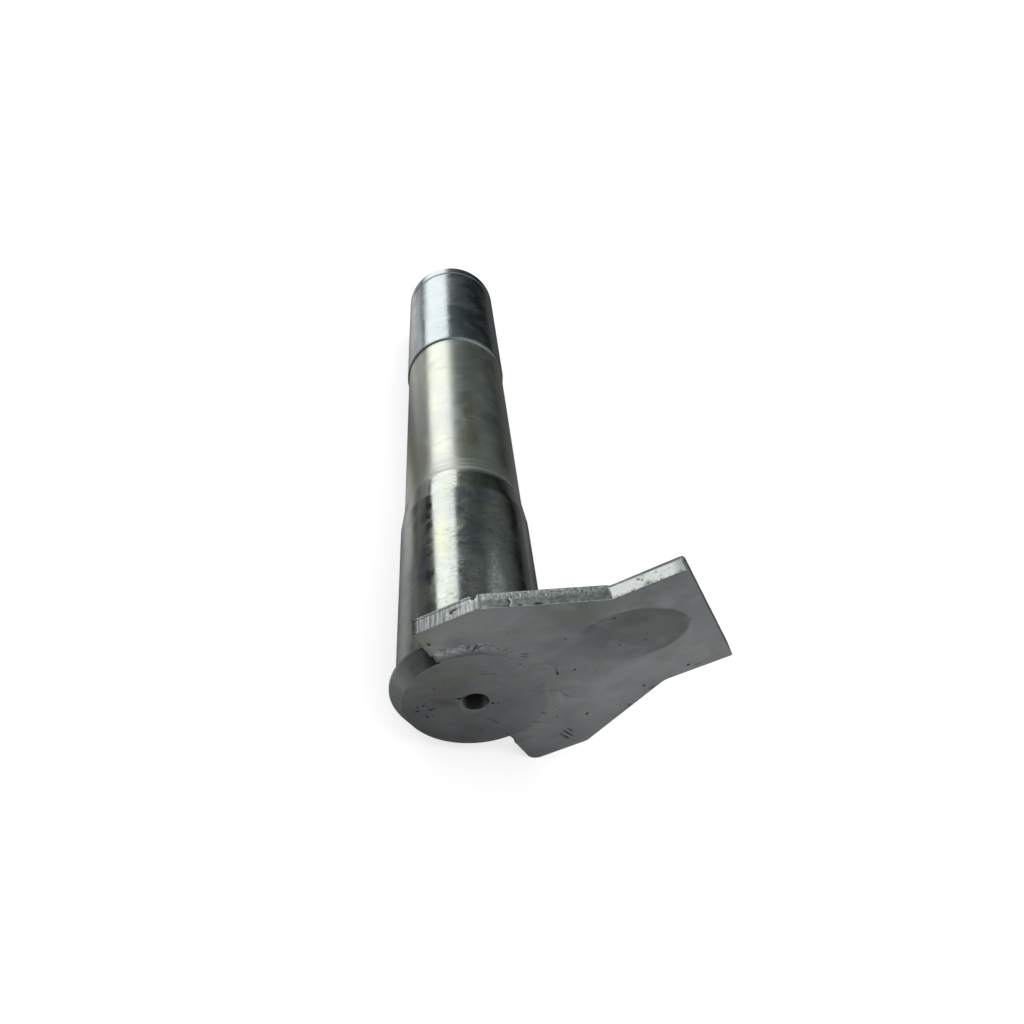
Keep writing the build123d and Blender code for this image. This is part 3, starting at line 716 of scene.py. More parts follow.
            # painted shade inside the bore, darker deeper down, with two painted lit sides where the wall catches
            # light; the mouth's countersink ring is painted dark as well
            painted_lit_side = (max(0.0, math.cos(th[i] - math.radians(214))) ** 8
                   + 0.55 * max(0.0, math.cos(th[i] - math.radians(338))) ** 14)
            painted_bore_shade = min(0.97, max(0.0, 0.94 - 0.45 * painted_lit_side) + 0.02 * (y + 6))
            soil_and_shade.append(max(float(lip[i]) * 0.9, 0.62 if y < -5.7 else painted_bore_shade))
            rub_and_highlight.append(0.0)
        for i in range(n):
            j = (i + 1) % n
            faces.append((prev + i, cur + i, cur + j, prev + j))
            fmat.append(6 if y > -5.8 else 0)
        prev = cur
    apex = len(verts)
    verts.append([0.0, 18.553, 0.0])
    soil_and_shade.append(0.8)
    rub_and_highlight.append(0.0)
    for i in range(NF):
        faces.append((prev + i, apex, prev + (i + 1) % NF))
        fmat.append(6)
    # --- body skin, 192 segments, first ring stitched 2:1 to the face
    tb = np.arange(NB) * 2 * math.pi / NB
    first = None
    prev = None
    for k, (r, y, mat) in enumerate(prof):
        x, z = r * np.cos(tb), r * np.sin(tb)
        pts = np.stack([x, np.full(NB, float(y)), z], -1)
        dr = np.zeros(NB)
        if mat in (2, 3, 4) and r > 20:
            # slow waviness left by turning and straightening, always inwards
            dr = -0.010 + 0.008 * pnoise(pts, 0.11, 1.0) + 0.0022 * pnoise(pts, 0.42, 5.0)
        elif mat == 1:
            dr = -0.03 + 0.022 * pnoise(pts, 0.35, 2.0) - 0.02 * np.abs(pnoise(pts, 1.1, 4.0))
            if y > -0.9:
                dr = np.minimum(dr, -0.005)
        s = np.zeros(NB)
        b = np.zeros(NB)
        # a few dents in the root land and the middle: (angle deg, y, size, depth)
        for a_deg, yy, size, depth in ((140.9, 41.8, 0.55, 0.10), (142.6, 42.6, 0.4, 0.07),
                                       (139.0, 40.9, 0.35, 0.05), (88.5, 48.6, 0.6, 0.05),
                                       (86.0, 47.4, 0.5, 0.05), (91.0, 50.2, 0.4, 0.04),
                                       (166.0, 24.0, 0.5, 0.06), (98.0, 38.6, 0.5, 0.03),
                                       (126.0, 205.0, 0.7, 0.02), (70.0, 34.0, 0.5, 0.03)):
            if abs(y - yy) < 3:
                da = (tb - math.radians(a_deg) + math.pi) % (2 * math.pi) - math.pi
                q = ((da * r) ** 2 + (y - yy) ** 2) / size ** 2
                dr = dr - depth * np.exp(-q)
                s = np.maximum(s, min(1.0, depth * 10) * np.exp(-q * 1.3))
        rr = r + dr
        cur = len(verts)
        verts.extend(np.stack([rr * np.cos(tb), np.full(NB, float(y)), rr * np.sin(tb)], -1).tolist())
        # darker in the corner under the collar, at the shoulder and in the groove
        if 0.0 <= y < 0.7 and r < 26.0:
            s = np.maximum(s, 0.5)
        if 190.6 < y < 191.7:     # shoulder: lighter on one side, darker on the other
            deg = np.degrees(tb)
            deg = np.where(deg > 250, deg - 360, deg)
            b = np.maximum(b, 0.75 * (1 - sstep(84, 106, deg)) * float(sstep(190.7, 190.95, y)) * float(sstep(191.7, 191.3, y)))
            s = np.maximum(s, (0.25 + 0.45 * sstep(100, 125, deg)) * (1.0 if r < 24.3 else 0.35))
            s = s * (1 - b)
        if mat == 1 and y < -0.9: # painted shade on the bevel beside the weld's start, with dark flecks
            deg = np.degrees(tb)
            dn = deg + 2.0 * pnoise(pts, 0.4, 3.0)
            s = np.maximum(s, (0.40 * (1 - sstep(147, 158, dn)) + 0.48 * (1 - sstep(139, 149, dn))) * (deg > 100))
            fleck = (pnoise(pts, 0.9, 8.0) > 0.25) * sstep(140, 143, deg) * (1 - sstep(147, 150, deg))
            s = np.maximum(s, 0.85 * fleck * float(y > -1.6))
            # painted highlight along the bevel's left side
            b = np.maximum(b, 0.85 * sstep(155, 163, dn) * (1 - sstep(172, 186, dn)))
        if 269.5 < y < 271.5 and r < 23.6:
            s = np.maximum(s, 0.45)
        soil_and_shade.extend(s.tolist())
        rub_and_highlight.extend(b.tolist())
        if k == 0:
            outer = rings[-1]
            for i in range(NB):
                j = (i + 1) % NB
                a0, a1, a2 = outer + 2 * i, outer + 2 * i + 1, outer + (2 * i + 2) % NF
                faces.append((a0, a1, cur + i))
                faces.append((a1, cur + j, cur + i))
                faces.append((a1, a2, cur + j))
                fmat.extend((0, 0, 0))
        else:
            for i in range(NB):
                j = (i + 1) % NB
                faces.append((prev + i, prev + j, cur + j, cur + i))
                fmat.append(mat)
        prev = cur
    end = len(verts)
    verts.append([0.0, 279.0, 0.0])
    soil_and_shade.append(0.0)
    rub_and_highlight.append(0.0)
    for i in range(NB):
        faces.append((prev + i, prev + (i + 1) % NB, end))
        fmat.append(5)
    mats = [M_HEAD, M_BEVEL, M_ROOT, M_MID, M_TIP, M_REAR, M_BORE]
    return make_object("turned_pin", verts, faces, mats, fmat, {"soil_and_shade": soil_and_shade, "rub_and_highlight": rub_and_highlight}, 38.0)


# ============================================================== the flag plate
TOP, BOT, TTOP, TBOT = 37.8, -40.6, 20.6, -23.4
CORNERS = [  # u, v, fillet radius, tag of the stretch that starts here, sample step
    (0.0, TOP, 0.45, "AB", 0.24), (21.0, TOP, 0.22, "BC", 0.24), (55.0, TTOP, 0.30, "CD", 0.26),
    (77.5, TTOP, 1.2, "DE", 0.5), (77.5, TBOT, 0.5, "EF", 0.6), (55.0, TBOT, 8.0, "FG", 0.6),
    (21.0, BOT, 4.0, "GH", 0.55), (0.0, BOT, 3.5, "HS", 0.5), (0.0, -27.02, 0.0, "SEAT", 0.8),
    (0.0, 27.02, 0.0, "SA", 0.4)]


def outline():
    """Clockwise loop of the plate: points, outward normals, tags, distance along each stretch."""
    P = [np.array(c[:2], float) for c in CORNERS]
    n = len(P)
    cut = []
    for i, (u, v, r, tag, st) in enumerate(CORNERS):
        if r <= 0:
            cut.append(None)
            continue
        a, b = P[i - 1] - P[i], P[(i + 1) % n] - P[i]
        a, b = a / np.linalg.norm(a), b / np.linalg.norm(b)
        half = math.acos(np.clip(a @ b, -1, 1)) / 2
        d = r / math.tan(half)
        bis = (a + b) / np.linalg.norm(a + b)
        centre = P[i] + bis * r / math.sin(half)
        cut.append((P[i] + a * d, P[i] + b * d, centre, r))
    pts, tags, along = [], [], []
    for i, (u, v, r, tag, st) in enumerate(CORNERS):
        j = (i + 1) % n
        if cut[i] is not None:            # the corner's own arc
            p0, p1, c, rr = cut[i]
            a0 = math.atan2(*(p0 - c)[::-1])
            a1 = math.atan2(*(p1 - c)[::-1])
            da = (a1 - a0 + math.pi) % (2 * math.pi) - math.pi
            k = max(3, int(abs(da) * rr / min(st, 0.45)))
            for s in range(k):
                a = a0 + da * s / k
                pts.append(c + rr * np.array([math.cos(a), math.sin(a)]))
                tags.append(tag)
                along.append(0.0)
            start = p1
        else:
            start = P[i]
        stop = cut[j][0] if cut[j] is not None else P[j]
        if tag == "SEAT":
            k = int(math.pi * 27.02 / st)
            for s in range(k):
                a = -math.pi / 2 + math.pi * s / k
                pts.append(27.02 * np.array([math.cos(a), math.sin(a)]))
                tags.append(tag)
                along.append(s * st)
        else:
            L = np.linalg.norm(stop - start)
            k = max(2, int(L / st))
            for s in range(k):
                pts.append(start + (stop - start) * s / k)
                tags.append(tag)
                along.append(L * s / k)
    pts = np.array(pts)
    keep = [0]
    for i in range(1, len(pts)):
        if np.linalg.norm(pts[i] - pts[keep[-1]]) > 0.02:
            keep.append(i)
    pts, tags, along = pts[keep], [tags[i] for i in keep], np.array(along)[keep]
    tan = np.roll(pts, -1, 0) - np.roll(pts, 1, 0)
    tan /= np.linalg.norm(tan, axis=1)[:, None]
    nrm = np.stack([-tan[:, 1], tan[:, 0]], -1)
    return pts, nrm, tags, along


def inside(px, py, poly):
    x0, y0 = poly[:, 0], poly[:, 1]
    x1, y1 = np.roll(x0, -1), np.roll(y0, -1)
    res = np.zeros(len(px), bool)
    for a, b, c, d in zip(x0, y0, x1, y1):
        if b == d:
            continue
        hit = ((b > py) != (d > py)) & (px < (c - a) * (py - b) / (d - b) + a)
        res ^= hit
    return res


def cap_points(loop, nrm, rings, grid, bounds):
    """Interior points of a cap: offset rings near the outline and a staggered grid inside."""
    kd = KDTree(len(loop))
    for i, p in enumerate(loop):
        kd.insert((p[0], p[1], 0.0), i)
    kd.balance()
    n = len(loop)

    def near(p):
        best, who = 1e9, 0
        for _, i, _ in kd.find_n((p[0], p[1], 0.0), 5):
            for j in (i - 1, i):
                a, b = loop[j % n], loop[(j + 1) % n]
                ab = b - a
                t = max(0.0, min(1.0, float((p - a) @ ab / (ab @ ab + 1e-12))))
                d = float(np.linalg.norm(p - a - ab * t))
                if d < best:
                    best, who = d, i
        return best, who

    pts, dist, who = [], [], []
    for off in rings:
        step = max(1, int(off / 0.5))
        last = None
        for i in range(0, n, step):
            p = loop[i] - nrm[i] * off
            d, w = near(p)
            if d < off * 0.86 or (last is not None and np.linalg.norm(p - last) < 0.09):
                continue
            last = p
            pts.append(p)
            dist.append(d)
            who.append(w)
    us = np.arange(bounds[0], bounds[1], grid)
    vs = np.arange(bounds[2], bounds[3], grid * 0.87)
    U, V = np.meshgrid(us, vs)
    U[1::2] += grid / 2
    U, V = U.ravel(), V.ravel()
    ok = inside(U, V, loop)
    lim = max(rings) + grid * 0.45
    for a, b in zip(U[ok], V[ok]):
        p = np.array([a, b])
        _, i, d0 = kd.find((a, b, 0.0))
        if d0 > lim + 1.0:
            pts.append(p)
            dist.append(d0)
            who.append(i)
        else:
            d, w = near(p)
            if d > lim:
                pts.append(p)
                dist.append(d)
                who.append(w)
    return np.array(pts), np.array(dist), np.array(who, int), inside


def build_plate():
    pts, nrm, tags, along = outline()
    n = len(pts)
    tags = np.array(tags)
    is_ab, is_bc, is_cd = tags == "AB", tags == "BC", tags == "CD"
    seat = tags == "SEAT"
    L_ab, L_bc, L_cd = along[is_ab].max(), along[is_bc].max(), along[is_cd].max()
    # rear roll-over and front edge radius along the outline, mm
    roll = np.full(n, 0.85)
    roll[is_ab] = 0.40
    roll[is_bc] = 0.55
    roll[is_cd] = 1.25 - 0.45 * along[is_cd] / L_cd
    roll[seat] = 0.22
    roll = np.convolve(np.concatenate([roll[-6:], roll, roll[:6]]), np.ones(5) / 5, "same")[6:-6]
    ragged = pnoise(np.stack([pts[:, 0], np.zeros(n), pts[:, 1]], -1), 1.9, 11.0)
    front_r = np.full(n, 0.16) + 0.05 * ragged
    front_r[is_cd] += 0.10 * np.clip(pnoise(np.stack([pts[:, 0], np.zeros(n), pts[:, 1]], -1)[is_cd], 1.1, 4.0), 0, None) * 2
    front_r[seat] = 0.06
    front_r = np.clip(front_r, 0.06, 0.5)

    rows = 17
    frac = np.linspace(0.0, 1.0, rows)

    def wall(i_sel, t):
        """Inward displacement (mm), soil, rub, brown of the wall at thickness t (0 rear, 6 front)."""
        q = np.stack([pts[i_sel, 0], t, pts[i_sel, 1]], -1)
        tg, al = tags[i_sel], along[i_sel]
        d = 0.025 * (1 + pnoise(q, 0.5, 7.0))
        so, ru, br = np.zeros(len(q)), np.zeros(len(q)), np.zeros(len(q))
        # striations across the thickness
        st = pnoise(np.stack([q[:, 0] * 2.6, q[:, 1] * 0.16, q[:, 2] * 2.6], -1), 1.0, 2.0)
        st2 = pnoise(np.stack([q[:, 0] * 1.1, q[:, 1] * 0.10, q[:, 2] * 1.1], -1), 1.0, 6.0)
        rough = pnoise(q, 2.3, 9.0) + 0.6 * pnoise(q, 4.7, 12.0)
        m = tg == "AB"
        d = d + m * (0.045 * (1 + st) + 0.03 * (1 + st2))
        fine = pnoise(np.stack([q[:, 0] * 3.4, q[:, 1] * 0.12, q[:, 2] * 3.4], -1), 1.0, 15.0)
        ru = ru + m * np.clip(0.55 + 0.26 * st + 0.60 * fine, 0, 1)
        so = so + m * np.clip(0.02 + 0.30 * (-st) * (-st > 0.18) + 0.30 * (-fine) * (-fine > 0.2), 0, 1) * 0.7
        # a burr line along the rear edge of that stretch, with a groove below it
        d = d + m * (0.22 * np.exp(-((t - 1.05) / 0.22) ** 2))
        so = np.maximum(so, m * 0.75 * np.exp(-((t - 1.02) / 0.20) ** 2))
        ru = np.maximum(ru, m * 0.8 * np.exp(-((t - 0.45) / 0.30) ** 2))
        # dark nick in the middle of it
        c = L_ab * 0.665
        g = np.exp(-(((al - c) / 1.5) ** 2)) * np.exp(-(((t - 3.0) / 0.42) ** 2))
        g2 = np.exp(-(((al - c + 0.9) / 0.7) ** 2)) * np.exp(-(((t - 3.6) / 0.55) ** 2))
        g = m * np.maximum(g, 0.9 * g2)
        d = d + 0.16 * g
        so = np.maximum(so, np.clip(1.5 * g - 0.2, 0, 1))
        # brown, burnt end next to the pin
        e = m * (1 - sstep(0.5, 1.6, al + 0.35 * rough))
        br = np.maximum(br, 0.85 * e)
        d = d + 0.10 * e * (1 + rough)
        # middle stretch: rough torn half at the rear, smooth cut half at the front
        m = tg == "BC"
        torn = m * (1 - sstep(2.5, 3.3, t + 0.25 * st2)) * sstep(0.3, 0.9, t)
        d = d + torn * (0.08 + 0.20 * np.abs(rough)) + m * 0.04
        ru = np.maximum(ru, torn * np.clip(0.70 + 1.8 * rough, 0, 1))
        so = np.maximum(so, torn * np.clip(-0.30 - 1.6 * rough, 0, 0.8))
        smooth = m * sstep(2.9, 3.5, t)
        so = np.maximum(so, 0.24 * smooth)
        crack = m * np.exp(-(((al - 9.25 - 0.25 * np.sin(t * 1.9)) / 0.28) ** 2)) * sstep(2.4, 3.0, t)
        d = d + 0.20 * crack
        so = np.maximum(so, 0.95 * crack)
        lip = m * np.exp(-(((al - 10.0) / 0.5) ** 2)) * sstep(2.6, 3.2, t)
        ru = np.maximum(ru, 0.5 * lip)
        for c, w, k in ((17.2, 2.2, 0.95), (12.2, 1.3, 0.8), (8.0, 0.8, 0.7), (21.5, 0.8, 0.5),
                        (25.5, 0.7, 0.6), (28.0, 0.5, 0.5), (30.0, 0.7, 0.5), (32.3, 0.4, 0.5), (7.0, 0.8, 0.4)):
            g = m * np.exp(-(((al - c) / w) ** 2)) * sstep(4.8, 5.4, t + 0.3 * rough)
            so = np.maximum(so, k * g)
            d = d + 0.10 * k * g
        # tail stretch: bright, slightly torn
        m = tg == "CD"
        d = d + m * (0.03 * (1 + rough) * 0.5)
        ru = np.maximum(ru, m * (0.90 + 0.20 * rough) * sstep(1.0, 1.5, t))
        for c, tt, w, k in ((8.3, 2.6, 0.45, 0.9), (9.3, 3.4, 0.40, 0.8), (9.7, 2.0, 0.30, 0.7), (13.6, 2.7, 0.35, 0.6),
                            (14.6, 4.6, 0.30, 0.5), (10.6, 5.3, 0.9, 0.7), (17.4, 3.0, 0.35, 0.35)):
            g = m * np.exp(-(((al - c) ** 2 + (t - tt) ** 2) / w ** 2))
            so = np.maximum(so, k * g)
            d = d + 0.10 * k * g
        g = m * sstep(L_cd - 3.4, L_cd - 0.4, al + 0.5 * rough)
        so = np.maximum(so, 0.42 * g)
        arris = m * sstep(5.0, 5.7, t + 0.55 * rough) * np.clip(0.35 + 1.2 * rough, 0, 1)
        so = np.maximum(so, 0.75 * arris)
        band = m * (1 - sstep(1.25, 1.75, t + 0.10 * rough))
        so = np.maximum(so, 0.66 * band)
        ru = ru * (1 - band)
        br = np.maximum(br, (tg == "SA") * (0.30 + 0.20 * rough))
        # other stretches stay plain, with light shear marks
        m = ~np.isin(tg, ("AB", "BC", "CD", "SEAT"))
        d = d + m * (0.03 * (1 + st) + 0.05 * (1 - sstep(2.6, 3.4, t)) * np.abs(rough))
        ru = ru * (1 - np.clip(1.25 * so, 0, 1))
        # the vee nick and the bright ridge at the shoulder's corner
        w = (tg == "AB") * (L_ab - al) + (tg == "BC") * (-al) + (~np.isin(tg, ("AB", "BC"))) * 99.0
        nick = np.clip(1 - np.abs(w - 0.55) / 0.95, 0, 1) * (1 - sstep(0.6, 2.6, t))
        d = d + 1.25 * nick
        so = np.maximum(so, np.clip(1.6 * nick, 0, 1))
        br = np.maximum(br, 0.5 * nick)
        ridge = np.exp(-(((w + 0.65) / (0.55 + 0.07 * t)) ** 2)) * sstep(0.3, 1.2, t)
        d = d + 0.14 * (1 - ridge) * np.exp(-((w / 3.2) ** 2))
        ru = np.maximum(ru, 1.0 * ridge)
        so = so * (1 - 0.9 * ridge * sstep(0.9, 1.6, t))
        foot = np.exp(-(((w + 2.1) / 0.8) ** 2)) * sstep(4.4, 5.2, t)
        ru = np.maximum(ru, 0.9 * foot)
        seam = np.exp(-(((w + 1.55) / 0.22) ** 2)) * sstep(1.6, 2.6, t) * (1 - foot)
        so = np.maximum(so, 0.55 * seam)
        pit = np.exp(-(((w + 0.9) / 0.75) ** 2)) * sstep(5.4, 5.85, t)
        so = np.maximum(so, 0.8 * pit)
        ru = ru * (1 - pit)
        d = np.where(tg == "SEAT", 0.0, np.clip(d, 0.0, None))
        keep = tg != "SEAT"
        return d, so * keep, ru * keep, br * keep

    verts, soil_and_shade, rub_and_highlight, brown = [], [], [], []
    allidx = np.arange(n)
    row_start = []
    edge_loops = {}
    for k, f in enumerate(frac):
        t = roll + (6.0 - front_r - roll) * f
        d, so, ru, br = wall(allidx, t)
        p = pts - nrm * d[:, None]
        # points that the nick pushed past their neighbours are drawn back into line
        run = np.roll(pts, -1, 0) - pts
        by_nick = np.hypot(pts[:, 0] - 21.0, pts[:, 1] - TOP) < 3.0
        for _ in range(40):
            back = (((np.roll(p, -1, 0) - p) * run).sum(1) < 0.04 * (run * run).sum(1)) & by_nick
            if not back.any():
                break
            back = back | np.roll(back, 1)
            p = np.where(back[:, None], 0.25 * np.roll(p, 1, 0) + 0.5 * p + 0.25 * np.roll(p, -1, 0), p)
        row_start.append(len(verts))
        verts.extend(uv_to_xyz(p[:, 0], p[:, 1], -t).tolist())
        soil_and_shade.extend(so.tolist())
        rub_and_highlight.extend(ru.tolist())
        brown.extend(br.tolist())
        if k == 0:
            edge_loops["rear"] = (p, d, so, ru, br)
        if k == rows - 1:
            edge_loops["front"] = (p, d, so, ru, br)
    faces, fmat = [], []
    for k in range(rows - 1):
        a, b = row_start[k], row_start[k + 1]
        for i in range(n):
            j = (i + 1) % n
            faces.append((a + i, a + j, b + j, b + i))
            fmat.append(1)

    def cap(which, grid, ring_d, radius, front):
        loop, d0, so0, ru0, br0 = edge_loops[which]
        add, dist, who, _ = cap_points(loop, nrm, ring_d, grid, (0.0, 77.5, BOT, TOP))
        co = [Vector((float(a), float(b))) for a, b in np.concatenate([loop, add])]
        ids = [list(range(n))]
        out = delaunay_2d_cdt(co, [], ids, 1, 1e-6)
        ov, of, orig = out[0], out[2], out[3]
        start = row_start[-1] if front else row_start[0]
        new_of = {}
        new_pts, new_info = [], []
        remap_idx = []
        for i, o in enumerate(orig):
            src = [x for x in o if x < n]
            if src:
                remap_idx.append(start + src[0])
            else:
                o0 = o[0] if o else -1
                remap_idx.append(len(verts) + len(new_pts))
                new_pts.append((ov[i][0], ov[i][1]))
                new_info.append(o0 - n)
        new_pts = np.array(new_pts)
        new_info = np.array(new_info)
        dd = np.where(new_info >= 0, dist[np.clip(new_info, 0, None)], 9.0)
        ww = np.where(new_info >= 0, who[np.clip(new_info, 0, None)], 0)
        R = radius[ww]
        fall = np.where(dd < R, R - np.sqrt(np.clip(R ** 2 - (R - dd) ** 2, 0, None)), 0.0)
        u, v = new_pts[:, 0], new_pts[:, 1]
        q = np.stack([u, np.zeros(len(u)), v], -1)
        und = 0.016 * (1 + pnoise(q, 0.075, 2.5)) + 0.004 * (1 + pnoise(q, 0.30, 8.0))
        edge_fade = sstep(0.0, 1.5, dd)
        if front:
            depth, so, ru = front_marks(u, v)
            y = -6.0 + fall + (depth + und) * edge_fade
            # ragged dark front arris on the tail stretch, thin worn line elsewhere
            near_cd = (dd < 0.5) & is_cd[ww]
            so = np.where(near_cd, np.maximum(so, 0.25 * (1 - dd / 0.5)), so)
            # the burnt corner beside the weld's start has a broken, rubbed edge
            sa = (tags[ww] == "SA") & (dd < 1.3)
            ru = np.where(sa, np.maximum(ru, 0.95 * np.clip(1 - dd / 1.3, 0, 1) ** 0.5 * (0.55 + 0.45 * (pnoise(q, 1.3, 21.0) > -0.1))), ru)
            y = y + np.where(sa, 0.34 * (1 - dd / 1.3) ** 2, 0.0)
            # heat-browned zone by the burnt corner
            br = 0.55 * (1 - sstep(0.5, 5.5, np.hypot(u, (v - 35.5) * 0.55))) * (1 - ru)
        else:
            y = -(fall + und * edge_fade)
            so = np.where(dd < R, so0[ww], 0.0)
            ru = np.where((dd < R) & ~is_cd[ww], ru0[ww] * 0.8, 0.0)
            so = np.where((dd < R * 1.05) & is_cd[ww], 0.45, so)
            br = np.where(dd < R, br0[ww], 0.0)
        verts.extend(uv_to_xyz(u, v, y).tolist())
        soil_and_shade.extend(so.tolist())
        rub_and_highlight.extend(ru.tolist())
        brown.extend(br.tolist())
        ring_ids = set(int(x) for x in np.nonzero(dd < R * 0.9)[0])
        base_new = len(verts) - len(new_pts)
        for f in of:
            ids3 = [remap_idx[i] for i in f]
            if len(set(ids3)) < 3:
                continue
            a, b, c = (np.array(ov[i]) for i in f[:3])
            area = (b[0] - a[0]) * (c[1] - a[1]) - (b[1] - a[1]) * (c[0] - a[0])
            if (area > 0) != front:
                ids3 = ids3[::-1]
            faces.append(tuple(ids3))
            edge_face = all(i < base_new or (i - base_new) in ring_ids for i in ids3)
            fmat.append(1 if edge_face else (0 if front else 2))

    cap("front", 0.44, (0.06, 0.16, 0.34), front_r, True)
    cap("rear", 1.1, (0.10, 0.26, 0.50, 0.85, 1.25), roll, False)
    ob = make_object("flag_plate_plated", verts, faces, [M_FACE, M_EDGE, M_REAR], fmat,
                     {"soil_and_shade": soil_and_shade, "rub_and_highlight": rub_and_highlight, "brown": brown}, 50.0)
    return ob


# ============================================================== the weld
def build_weld():
    NP, NA = 520, 26            # samples along the half ring and across its top
    verts, soil_and_shade, rub_and_highlight, faces = [], [], [], []
    phis = np.linspace(-90.0, 90.0, NP)
    rho = np.linspace(0.0, 1.0, NA)
    per = NA + 3
    for k, ph in enumerate(phis):
        a = math.radians(ph)
        q = np.stack([np.full(NA, ph * 0.25), rho * 3.0, np.zeros(NA)], -1)
        lap = 28.25 - 0.45 * abs(noise.noise(Vector((ph * 0.11, 2.0, 5.0)))) - 0.25 * abs(noise.noise(Vector((ph * 0.5, 4.0, 1.0))))
        r = 22.8 + (lap - 22.8) * rho
        # crown of the bead: full at the start, dressed nearly flat further on
        full = float(sstep(44, 58, ph)) + 0.55 * float(1 - sstep(-84, -66, ph))
        mid = 0.30 + 0.16 * noise.noise(Vector((ph * 0.09, 7.0, 3.0)))
        rise = 0.33 * full + 0.10 * (1 - min(1.0, full)) * max(0.1, mid + 0.25)
        inner = 0.16 + 0.10 * noise.noise(Vector((ph * 0.13, 1.0, 9.0)))
        s = np.clip((rho - inner) / (1 - inner), 0, 1)
        crown = np.clip(4 * s * (1 - s), 0, 1) ** 0.7
        # overlapping crescents of the weld pool
        phase = ph / 6.4 - 1.15 * (rho - 0.42) ** 2 * 4 + 0.5 * noise.noise(Vector((ph * 0.05, 0.0, 0.0)))
        saw = np.mod(phase, 1.0)
        amp = (0.105 * float(sstep(40, 60, ph)) + 0.030) * (0.35 + 0.65 * sstep(0.35, 0.7, rho)) * crown ** 0.4
        line = np.exp(-((np.minimum(saw, 1 - saw)) / 0.075) ** 2)
        h = rise * crown + amp * (saw ** 1.3 - 0.45) + 0.010 * np.array([noise.noise(Vector(x * 2.4)) for x in q])
        h = np.clip(h, 0.004, 0.415)
        # the bead's start and end are rounded off
        edge = float(sstep(0.0, 3.2, 90.0 - ph)) * float(sstep(0.0, 2.6, ph + 90.0))
        drop = (1 - edge) * 0.9 * (0.4 + 0.6 * crown)
        y = -6.0 - h * edge + drop
        y[0] = -6.0 + drop[0] + 0.01
        y[-1] = -5.97
        u, v = r * math.cos(a), r * math.sin(a)
        verts.extend(uv_to_xyz(u, v, y).tolist())
        so = line * (0.22 * float(sstep(48, 60, ph)) * sstep(0.25, 0.70, rho) + 0.10 * float(sstep(20, 40, ph)))
        so = np.maximum(so, 0.60 * np.exp(-((rho - 0.985) / 0.028) ** 2) * float(sstep(36, 62, ph)))
        so = np.maximum(so, 0.30 * np.exp(-((rho - inner) / 0.035) ** 2) * float(sstep(14, 44, ph)) * float(sstep(86, 74, ph)))
        ru = (0.20 * float(sstep(30, 52, ph)) + 0.70 * float(sstep(62, 76, ph))) * sstep(inner - 0.02, inner + 0.12, rho) * (0.7 + 0.3 * saw)
        d, s2, r2 = front_marks(u, v)
        y = y + d * edge
        so = np.maximum(so, s2)
        ru = np.maximum(ru * (1 - s2), r2)
        soil_and_shade.extend(so.tolist())
        rub_and_highlight.extend(ru.tolist())
        # underside: lap on the plate, seat corner, root of the vee
        for rr, yy in ((lap, -5.96), (26.99, -5.96), (26.97, -1.05)):
            verts.append(uv_to_xyz(rr * math.cos(a), rr * math.sin(a), yy).tolist())
            soil_and_shade.append(0.0)
            rub_and_highlight.append(0.0)
    for k in range(NP - 1):
        a, b = k * per, (k + 1) * per
        for i in range(per):
            j = (i + 1) % per
            faces.append((a + i, b + i, b + j, a + j))
    # end faces, as fans of the section's outline
    def end_cap(base, flip):
        top = list(range(NA))
        corner, seatp, root = NA, NA + 1, NA + 2
        inner_n = int(NA * 0.76)
        tri = []
        for i in range(NA - 1):
            tri.append((top[i], top[i + 1], root if i < inner_n else seatp))
        tri.append((top[inner_n], seatp, root))
        tri.append((top[NA - 1], corner, seatp))
        for t in tri:
            t = tuple(base + x for x in t)
            faces.append(t if not flip else t[::-1])
    end_cap(0, True)
    end_cap((NP - 1) * per, False)
    ob = make_object("plated_weld_bead", verts, faces, [M_WELD], [0] * len(faces),
                     {"soil_and_shade": soil_and_shade, "rub_and_highlight": rub_and_highlight}, 60.0)
    return ob


pin = build_pin()
plate = build_plate()
weld = build_weld()
for ob in (pin, plate, weld):
    # all faces point outwards
    bm_mesh = ob.data
    import bmesh
    bm = bmesh.new()
    bm.from_mesh(bm_mesh)
    bmesh.ops.recalc_face_normals(bm, faces=bm.faces)
    bad = [e for e in bm.edges if not e.is_manifold]
    print(ob.name, "faces", len(bm.faces), "tris", sum(len(f.verts) - 2 for f in bm.faces),
          "open edges", len(bad), "volume mm3", round(bm.calc_volume() * 1e9))
    bm.to_mesh(bm_mesh)
    bm.free()
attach(pin, "root")
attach(plate, "root")
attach(weld, "root")
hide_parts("pin")
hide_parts("flag_plate")
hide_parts("weld_bead")


# ============================================================== stage
def photo_dir(az, el):
    """A direction given from the pin's axis (+Y towards +X) and up, in the row frame."""
    a, e, d = math.radians(az), math.radians(el), math.radians(14.07)
    x, y, z = math.sin(a) * math.cos(e), math.cos(a) * math.cos(e), math.sin(e)
    return Vector((x * math.cos(d) - z * math.sin(d), y, x * math.sin(d) + z * math.cos(d)))


